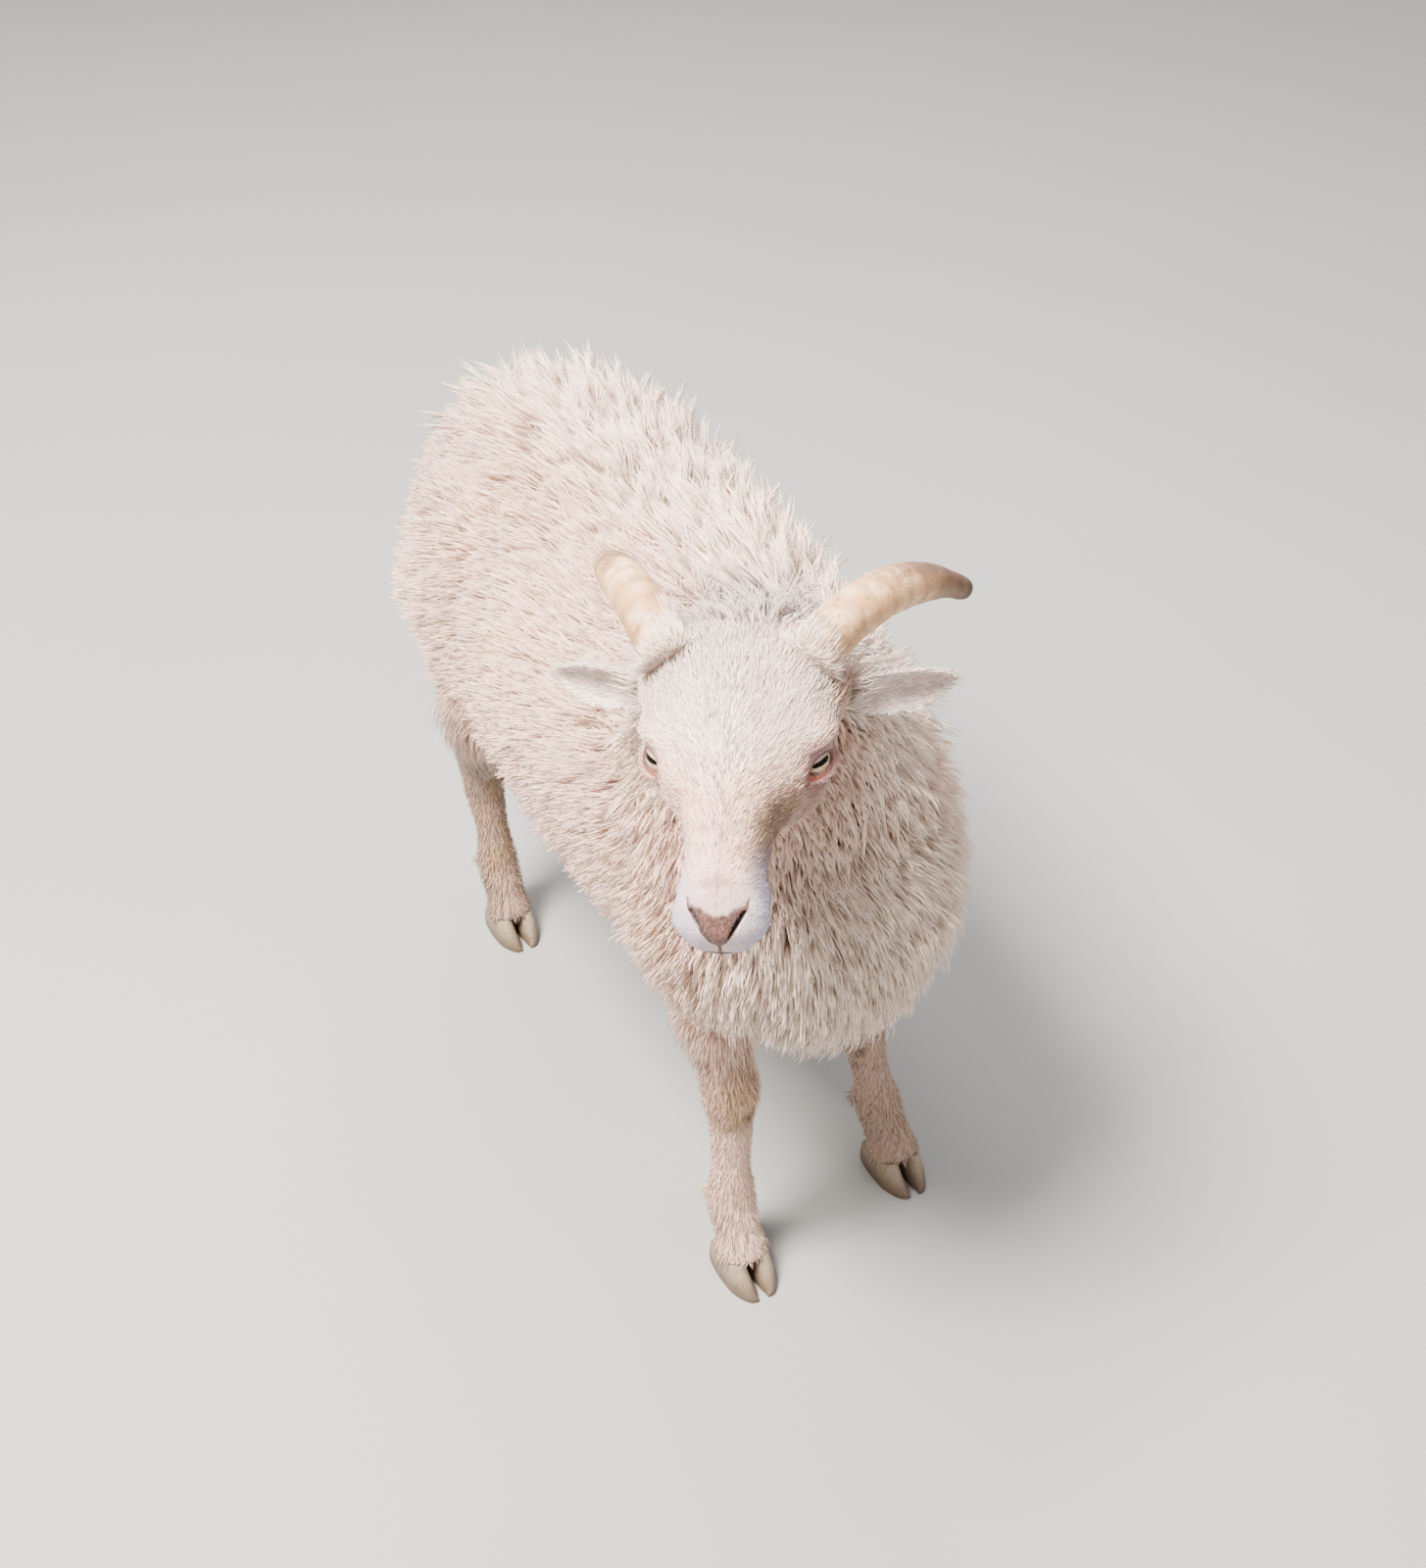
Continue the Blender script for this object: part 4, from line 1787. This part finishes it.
@dataclass
class FaceHair:
    """Short hair of the head and ears, which lies back from the nose."""

    spacing: float = 0.00122
    half_width: float = 0.00036
    half_thickness: float = 0.00022
    cuts: tuple[float, ...] = (0.5,)
    lash_cuts: tuple[float, ...] = (0.35, 0.7)
    ear_length: float = 0.0072
    collar_spacing: float = 0.00085
    root_seed: int = 31
    hair_seed: int = 37
    collar_root_seed: int = 43
    collar_hair_seed: int = 47
    lash_seed: int = 3

    def lengths(self, head: np.ndarray) -> np.ndarray:
        """The length of the hair at places in the head's frame."""
        y = head[:, 1]
        length = np.interp(y, (-0.10, -0.085, -0.05, -0.01, 0.03, 0.07),
                           (0.0024, 0.0032, 0.0055, 0.0078, 0.0110, 0.0150))
        horn = near_head_point(head, HORN_LINE[0], HORN_FOOT_REACH)
        return length * (1 + 0.80 * horn + 0.90 * near_head_point(head, EAR_ROOT, 0.018))

    @staticmethod
    def bare(head: np.ndarray) -> np.ndarray:
        """Whether each place is bare: nose pad, nostrils, lips' edge and lids."""
        x, y, z = np.abs(head[:, 0]), head[:, 1], head[:, 2]
        pad = ((z - PAD_LOW) * PAD_SLOPE > x - 0.0004) & (z < PAD_TOP - 0.0020 + x * 0.30)
        pad &= y < -0.0870
        split = (x < 0.0012) & (z < -0.028) & (y < -0.085)
        mouth = (np.abs(below_mouth(y, z)) < 0.0013) & (y < -0.063)
        _, corner_way, over = eye_axes(1)
        offset = np.stack((x, y, z), axis=1) - np.array(EYE_PLACE)
        u, v = offset @ np.array(corner_way), offset @ np.array(over)
        near = np.linalg.norm(offset, axis=1) < 0.0215
        eye = near & (np.hypot(u / LID_LONG, (v - 0.0020) / (LID_TALL * 1.90)) < 1.0)
        for centre, radii in TEAR_OVALS:
            eye |= near & (np.hypot((u - centre[0]) / radii[0], (v - centre[1]) / radii[1]) < 1.28)
        slit = np.linalg.norm(np.stack(((x - 0.0118) / 1.2, y + 0.0955, z + 0.0158), axis=1),
                              axis=1) < 0.0032
        return pad | split | mouth | eye | slit

    def lie(self, head: np.ndarray) -> np.ndarray:
        """The way the hair lies, in the head's frame."""
        x, y, z = head.T
        side = np.tanh(x / 0.0045)
        out = np.clip(np.abs(x) / 0.020, 0, 1)
        apart = np.interp(y, (-0.060, -0.015, 0.030), (1.0, 0.75, 0.25))
        wish = np.stack((side * (0.35 + 0.35 * out) * apart, np.full(len(x), 1.0),
                         0.25 - 0.2 * out), axis=1) + noise_rows(head * 85.0) * 0.16
        lower = np.clip((-0.022 - z) / 0.02, 0, 1)[:, None]
        wish = wish * (1 - lower) + np.stack((side * 0.1, np.full(len(x), 0.9),
                                              np.full(len(x), -0.45)), axis=1) * lower
        horn = near_head_point(head, HORN_LINE[0], HORN_FOOT_REACH)[:, None]
        grow = np.array(HORN_LINE[1] - HORN_LINE[0]) / (HORN_LINE[1] - HORN_LINE[0]).length
        wish = wish * (1 - horn) + np.stack((side * grow[0], np.full(len(x), grow[1]),
                                             np.full(len(x), grow[2])), axis=1) * horn
        ear = np.abs(x) > EAR_START
        along = np.array(EAR_TIP - EAR_ROOT) / (EAR_TIP - EAR_ROOT).length
        wish[ear] = np.stack((side * along[0], np.full(len(x), along[1]),
                              np.full(len(x), along[2])), axis=1)[ear]
        return wish

    def tufts(self, head_skin: Object, solids: list[BVHTree]) -> Tufts:
        """All the short hair of the head."""
        places, normals = scatter(head_skin, self.spacing, self.root_seed)
        head = in_head(places)
        kept = ~self.bare(head)
        for tree in solids:
            drop_buried(kept, places, tree, 0.02, 0.0004)
        places, normals, head = places[kept], normals[kept], head[kept]
        draw = np.random.default_rng(self.hair_seed)
        count = len(places)
        turn = np.array(head_matrix().to_3x3())
        lie = self.lie(head) @ turn.T + draw.normal(0, 0.16, (count, 3))
        lie = on_surface(lie, normals)
        length = self.lengths(head) * draw.uniform(0.75, 1.2, count)
        ear = np.abs(head[:, 0]) > EAR_START
        facing = turn @ np.array(EAR_FRONT)
        cup = ear & ((normals @ facing) > 0.35)
        edge = ear & (np.abs(normals @ facing) < 0.35)
        hollow = cup & (np.abs(np.abs(head[:, 0]) - EAR_ROOT.lerp(EAR_TIP, 0.66).x) < 0.020)
        length[ear] = self.ear_length * draw.uniform(0.7, 1.3, ear.sum())
        length[hollow] *= 0.62
        length[edge] *= 1.55
        lift = np.interp(head[:, 1], (-0.08, -0.02, 0.04), (0.12, 0.18, 0.24))
        lift += draw.uniform(-0.07, 0.09, count)
        lift[edge] += 0.12
        near_eye = near_head_point(head, EYE_PLACE, 0.016)
        length *= 1 - 0.62 * near_eye
        thin = np.where(hollow, 0.75, 1.0) * np.interp(head[:, 1], (-0.10, -0.06), (0.72, 1.0))
        keep = ~(hollow & (draw.random(count) < 0.30))
        root, bend, tip = swept(places, normals, lie, length, lift, 1.25)
        keep &= ~self.bare(in_head(tip)) | (near_eye < 0.2)
        width = self.half_width * thin * draw.uniform(0.7, 1.2, count)
        made = Tufts(root, bend, tip, normals, width, self.half_thickness * thin,
                     draw.random(count), draw.uniform(0.0, 0.0004, count))
        return made.pick(np.nonzero(keep)[0])

    def collar(self, horn: Object, skull: BVHTree, side: int) -> Tufts:
        """White hair that climbs from the skull onto the foot of a horn."""
        places, normals = scatter(horn, self.collar_spacing, self.collar_root_seed + side)
        axis = head_matrix().to_3x3() @ sided(HORN_LINE[1] - HORN_LINE[0], side).normalized()
        draw = np.random.default_rng(self.collar_hair_seed + side)
        depth = np.full(len(places), -1.0)
        for index, place in enumerate(places):
            spot = Vector(place)
            near, facing, _, distance = skull.find_nearest(spot)
            if distance < 0.032 and (spot - near).dot(facing) > -0.002:
                depth[index] = distance
        inward = np.array(head_matrix().to_3x3() @ Vector((-side * 0.8, -0.6, 0.3)).normalized())
        front = np.clip(0.45 + 0.65 * (normals @ inward), 0, 1)
        kept = (depth >= 0) & (draw.random(len(places)) > (depth / (0.006 + 0.022 * front)) ** 2)
        places, normals, front = places[kept], normals[kept], front[kept]
        count = len(places)
        lie = on_surface(np.array(axis) + draw.normal(0, 0.10, (count, 3)), normals)
        length = draw.uniform(0.006, 0.010, count) * (1 + 0.5 * front)
        lift = draw.uniform(0.0, 0.04, count)
        root, bend, tip = swept(places, normals, lie, length, lift, 0.9, 0.5, 0.0004)
        return Tufts(root, bend, tip, normals, np.full(count, self.half_width),
                     np.full(count, self.half_thickness), draw.random(count),
                     draw.uniform(0.0, 0.0005, count))

    def lashes(self) -> Tufts:
        """A few long pale lashes on each upper lid."""
        draw = random.Random(self.lash_seed)
        turn = head_matrix()
        rows = []
        for side, _ in SIDES:
            gaze, corner, over = eye_axes(side)
            for number in range(11):
                sweep = math.radians(-52 + 9.5 * number)
                aim = gaze * math.cos(sweep) + corner * math.sin(sweep) + over * 0.52
                start = sided(EYE_PLACE, side) + aim.normalized() * (EYE_RADIUS + 0.0016)
                out = (aim.normalized() * 0.8 + over * 0.25 - corner * 0.35).normalized()
                length = draw.uniform(0.007, 0.013)
                middle = start + out * length * 0.5
                end = start + out * length + over * length * 0.22
                rows.append([turn @ start, turn @ middle, turn @ end,
                             (turn.to_3x3() @ over).normalized()])
        root, bend, tip, normal = (np.array([r[k] for r in rows]) for k in range(4))
        count = len(rows)
        return Tufts(root, bend, tip, normal, np.full(count, 0.00016), np.full(count, 0.00014),
                     np.full(count, 0.4), np.zeros(count))

    def build(self, ram: Ram, flesh: dict[str, Object], solids: list[BVHTree],
              horns: dict[str, Object], skin_map: SkinMap) -> None:
        """Makes the head's hair, the collars of the horns and the lashes."""
        material = HairFinish("face_hair", 0.20, 0.22, 0.80).material()
        skull = tree_of(flesh["head"])
        for side, word in SIDES:
            collar = self.collar(horns[word], skull, side)
            piece = collar.solid("horn_collar_" + word, self.cuts, skin_map)
            ram.keep(piece, material, "face_hair")
        tufts = self.tufts(flesh["head"], solids)
        on_ear = np.abs(in_head(tufts.root)[:, 0]) > EAR_START
        for name, rows in (("hair_head", ~on_ear), ("hair_ears", on_ear)):
            piece = tufts.pick(np.nonzero(rows)[0]).solid(name, self.cuts, skin_map)
            ram.keep(piece, material, "face_hair")
        lashes = self.lashes().solid("lashes", self.lash_cuts, skin_map)
        ram.keep(lashes, material, "face_hair")


@dataclass
class LegHair:
    """Short hair of a leg, which lies down it, longer at the fetlock and over the claws."""

    spacing: float = 0.0023
    half_width: float = 0.00055
    half_thickness: float = 0.00028
    top: float = 0.300
    cuts: tuple[float, ...] = (0.5,)
    first_seed: int = 50

    def tufts(self, leg: Object, trunk: BVHTree, seed: int) -> Tufts:
        """All the hair of one leg."""
        places, normals = scatter(leg, self.spacing, seed)
        slope = (places[:, 2] > CORONET_HEIGHT - 0.004) & (normals[:, 2] > -0.85)
        kept = slope & (places[:, 2] < self.top)
        drop_buried(kept, places, trunk, 0.04)
        places, normals = places[kept], normals[kept]
        draw = np.random.default_rng(seed + 1)
        count = len(places)
        lie = on_surface(np.array((0, 0.12, -1.0)) + draw.normal(0, 0.17, (count, 3)), normals)
        height = places[:, 2]
        length = np.interp(height, (0.02, 0.05, 0.09, 0.15, 0.20, 0.25),
                           (0.0085, 0.0100, 0.0080, 0.0100, 0.0200, 0.0320))
        length = length * draw.uniform(0.75, 1.2, count)
        lift = np.interp(height, (0.02, 0.05, 0.12, 0.20, 0.25), (0.10, 0.22, 0.16, 0.30, 0.50))
        lift = lift + draw.uniform(-0.05, 0.08, count)
        root, bend, tip = swept(places, normals, lie, length, lift, 1.2)
        tip[:, 2] = np.maximum(tip[:, 2], 0.004)
        return Tufts(root, bend, tip, normals, self.half_width * draw.uniform(0.7, 1.25, count),
                     np.full(count, self.half_thickness), draw.random(count),
                     draw.uniform(0.0, 0.0006, count))

    def build(self, ram: Ram, flesh: dict[str, Object], skin_map: SkinMap) -> None:
        """Makes the hair of all four legs."""
        material = HairFinish("leg_hair", 0.22, 0.20, 0.45).material()
        trunk = tree_of(flesh["trunk"])
        for seed, name in enumerate(("foreleg_right", "foreleg_left", "hindleg_right",
                                     "hindleg_left")):
            tufts = self.tufts(flesh[name], trunk, self.first_seed + 2 * seed)
            ram.keep(tufts.solid("hair_" + name, self.cuts, skin_map), material, "leg_hair")


# Eyes, horns and claws

@dataclass
class Eye:
    """An eyeball with its clear front standing a little proud."""

    side: int
    cornea_rise: float = 0.0007
    cornea_edge: float = math.radians(42)

    def build(self, ram: Ram, word: str) -> None:
        """Makes the eye and puts it in its socket."""
        mesh = bmesh.new()
        bmesh.ops.create_uvsphere(mesh, u_segments=48, v_segments=36, radius=EYE_RADIUS)
        for vertex in mesh.verts:
            angle = vertex.co.angle(UP)
            if angle < self.cornea_edge:
                bow = 0.5 + 0.5 * math.cos(math.pi * angle / self.cornea_edge)
                vertex.co *= 1 + self.cornea_rise * bow / EYE_RADIUS
        gaze = sided(EYE_LOOK, self.side)
        turn = gaze.to_track_quat("Z", "Y").to_matrix().to_4x4()
        placed = head_matrix() @ Matrix.Translation(sided(EYE_PLACE, self.side)) @ turn
        bmesh.ops.transform(mesh, matrix=placed, verts=mesh.verts)
        piece = as_object("eyeball_" + word, mesh, False)
        ram.keep(piece, EyeFinish(self.side).material(), "eye", ("eye_" + word,))


@dataclass
class Horn:
    """A horn swept back, out and down, with growth rings."""

    side: int
    segments: int = 44
    rings: int = 110
    ripple: float = 0.00012
    ring_count: float = 15.0

    def solid(self, word: str) -> Object:
        """The horn in the body's frame, with its rings stored for its colour."""
        points = list(HORN_LINE)
        if self.side < 0:
            turn = Matrix.Rotation(RIGHT_HORN_TURN.length, 4, RIGHT_HORN_TURN.normalized())
            points = [points[0] + turn @ (p - points[0]) for p in points]
        sunk = points[0] - (points[1] - points[0]).normalized() * HORN_SINK
        rows = [Section(*sunk, 0.0005, 0.0005, 0.0005),
                Section(*sunk.lerp(points[0], 0.15), 0.0135, 0.0130, 0.0130)]
        for step, radius in enumerate(HORN_RADII):
            centre = self.bezier(points, step / len(HORN_RADII))
            rows.append(Section(*centre, radius * 0.92, radius, radius))
        rows.append(Section(*self.bezier(points, 0.965), 0.0062, 0.0062, 0.0062))
        rows.append(Section(*points[3], 0.0004, 0.0004, 0.0004))
        rows = tuple(Section(r.x * self.side, r.y, r.z, r.side, r.up, r.down) for r in rows)
        loft = Loft(rows, Vector((0, -0.2, 1)))
        mesh = loft.mesh(self.segments, self.rings)
        horn = as_object("horn_shape_" + word, mesh)
        places = vertex_rows(horn.data, "co")
        line = np.array([loft.frame_at(s / 200)[0] for s in range(201)])
        gaps = np.linalg.norm(places[:, None, :] - line[None], axis=2)
        along = gaps.argmin(axis=1) / 200
        wobble = noise_rows(places * 160.0)[:, 0] * 0.35
        phase = along**0.85 * self.ring_count * 2 * math.pi + wobble
        ring = 0.5 + 0.5 * np.sin(phase)
        fade = np.clip((1 - along) / 0.12, 0, 1) * np.clip(along / 0.1, 0, 1)
        lumps = noise_rows(places * 420.0)[:, 1] * 0.00012
        push = (ring * self.ripple - self.ripple) * fade + lumps * fade
        push_out(horn, places, push)
        Tufts.write(horn.data, "along", along)
        Tufts.write(horn.data, "rings", ring)
        horn.data.transform(head_matrix())
        return horn

    @staticmethod
    def bezier(points: list[Vector], share: float) -> Vector:
        """A point on the cubic curve of four control points."""
        rest = 1 - share
        return (points[0] * rest**3 + points[1] * 3 * rest**2 * share
                + points[2] * 3 * rest * share**2 + points[3] * share**3)


@dataclass
class Claw:
    """One of the two claws of a foot: flat inside and on the sole, round outside."""

    foot: Vector
    side: int
    inner: float = 0.0016
    wide: float = 0.0158

    line = ((0.0200, 0.0004, 0.0004), (0.0190, 0.0048, 0.0150), (0.0120, 0.0072, 0.0230),
            (-0.0020, 0.0079, 0.0265), (-0.0140, 0.0076, 0.0225), (-0.0240, 0.0058, 0.0110),
            (-0.0300, 0.0034, 0.0040), (-0.0325, 0.0004, 0.0004))

    def build(self, ram: Ram, node: str) -> None:
        """Makes the claw that stands for a solid."""
        middle = self.foot.x + self.side * (self.inner + self.wide / 2)
        rows = []
        for y, half, height in self.line:
            lean = self.side * (half - self.wide / 2) * 0.8
            rows.append(Section(middle + lean, self.foot.y + y, 0.002, half, height, 0.012))
        piece = Loft(tuple(rows), UP).solid("horn_of_" + node, 32, 36)
        cut_flat(piece, Vector((0, 0, 0)), 0, True)
        top = Vector((0, self.foot.y - CORONET_BACK, CORONET_HEIGHT - GAP * 1.1))
        cut_flat(piece, top, CORONET_SLOPE, False)
        ram.keep(piece, ClawFinish().material(), "claw", (node,))
        piece.data.set_sharp_from_angle(angle=math.radians(45))


# Studio

@dataclass
class Studio:
    """Pale floor, soft lights and the camera."""

    camera_place: Vector = field(default_factory=lambda: Vector((-0.5500, -0.8620, 1.154)))
    camera_aim: Vector = field(default_factory=lambda: Vector((0.3796, 0.6991, -0.6060)))
    lens: float = 49.5
    floor_half: float = 6.0

    def floor(self) -> None:
        """A wide pale floor that is no part of the animal."""
        mesh = bmesh.new()
        bmesh.ops.create_grid(mesh, x_segments=1, y_segments=1, size=self.floor_half)
        made = as_object("floor", mesh, False)
        paint = Paint("floor")
        grain = paint.noise(paint.node("ShaderNodeTexCoord", {}, {}, 3), 3.0, 3.0)
        paint.set(Base_Color=paint.mix(grain, (0.33, 0.34, 0.33), (0.36, 0.37, 0.36)),
                  Roughness=0.9)
        made.data.materials.append(paint.material)

    def light(self, name: str, place: Triple, size: float, power: float, colour: Triple) -> None:
        """One soft square light that faces the animal."""
        data = bpy.data.lights.new(name, "AREA")
        data.shape = "SQUARE"
        data.size = size
        data.energy = power
        data.color = colour
        lamp = linked(name, data)
        lamp.location = place
        aim = Vector((0, 0, 0.28)) - Vector(place)
        lamp.rotation_mode = "QUATERNION"
        lamp.rotation_quaternion = aim.to_track_quat("-Z", "Y")

    def build(self, shift: Vector) -> None:
        """Sets up the floor, the lights, the surround and the camera."""
        self.floor()
        self.light("key", (-1.25, -0.15, 2.60), 1.0, 420, (1.0, 0.93, 0.84))
        self.light("fill", (1.2, -2.2, 1.5), 1.8, 24, (1.0, 0.96, 0.95))
        self.light("top", (0.4, 1.3, 2.4), 1.4, 70, (1.0, 0.97, 0.95))
        world = bpy.data.worlds.new("surround")
        world.use_nodes = True
        background = world.node_tree.nodes["Background"]
        background.inputs["Color"].default_value = (0.93, 0.91, 0.93, 1)
        background.inputs["Strength"].default_value = 0.52
        bpy.context.scene.world = world
        data = bpy.data.cameras.new("camera")
        data.lens = self.lens
        data.sensor_width = 36.0
        camera = linked("camera", data)
        camera.location = self.camera_place + shift
        camera.rotation_mode = "QUATERNION"
        camera.rotation_quaternion = self.camera_aim.to_track_quat("-Z", "Y")
        bpy.context.scene.camera = camera


FLESH_NODES = ("torso", "neck", "tail", "head", "ear_left", "ear_right", "foreleg_left",
               "foreleg_right", "hindleg_left", "hindleg_right")


def main() -> None:
    """Builds the whole animal and its studio, in order."""
    logging.basicConfig(level=logging.INFO, format="%(name)s: %(message)s")
    ram = Ram()
    Studio().build(ram.shift)
    flesh = Flesh()
    parts = flesh.build()
    horns = {word: Horn(side).solid(word) for side, word in SIDES}
    horn_trees = [tree_of(horn) for horn in horns.values()]
    skin_map = SkinMap(parts["skin"])
    bare = [tree_of(parts[name]) for name in parts if name not in ("skin", "trunk")] + horn_trees
    Fleece().build(ram, parts, bare, skin_map)
    solids = [tree_of(parts["trunk"])] + horn_trees
    FaceHair().build(ram, parts, solids, horns, skin_map)
    LegHair().build(ram, parts, skin_map)
    ram.keep(parts["skin"], SkinFinish().material(), "face_hair", FLESH_NODES)
    material = HornFinish().material()
    for side, word in SIDES:
        Eye(side).build(ram, word)
        ram.keep(horns[word], material, "horn", ("horn_" + word,))
    for name, sections in flesh.legs.items():
        foot = Vector((sections[FOOT_SECTION].x, sections[FOOT_SECTION].y, 0))
        outer_side = -1 if "right" in name else 1
        for side in (-1, 1):
            word = "outer" if side == outer_side else "inner"
            Claw(foot, side).build(ram, f"claw_{name}_{word}")
    for name, piece in parts.items():
        if name != "skin":
            bpy.data.objects.remove(piece)


if __name__ == "__main__":
    main()
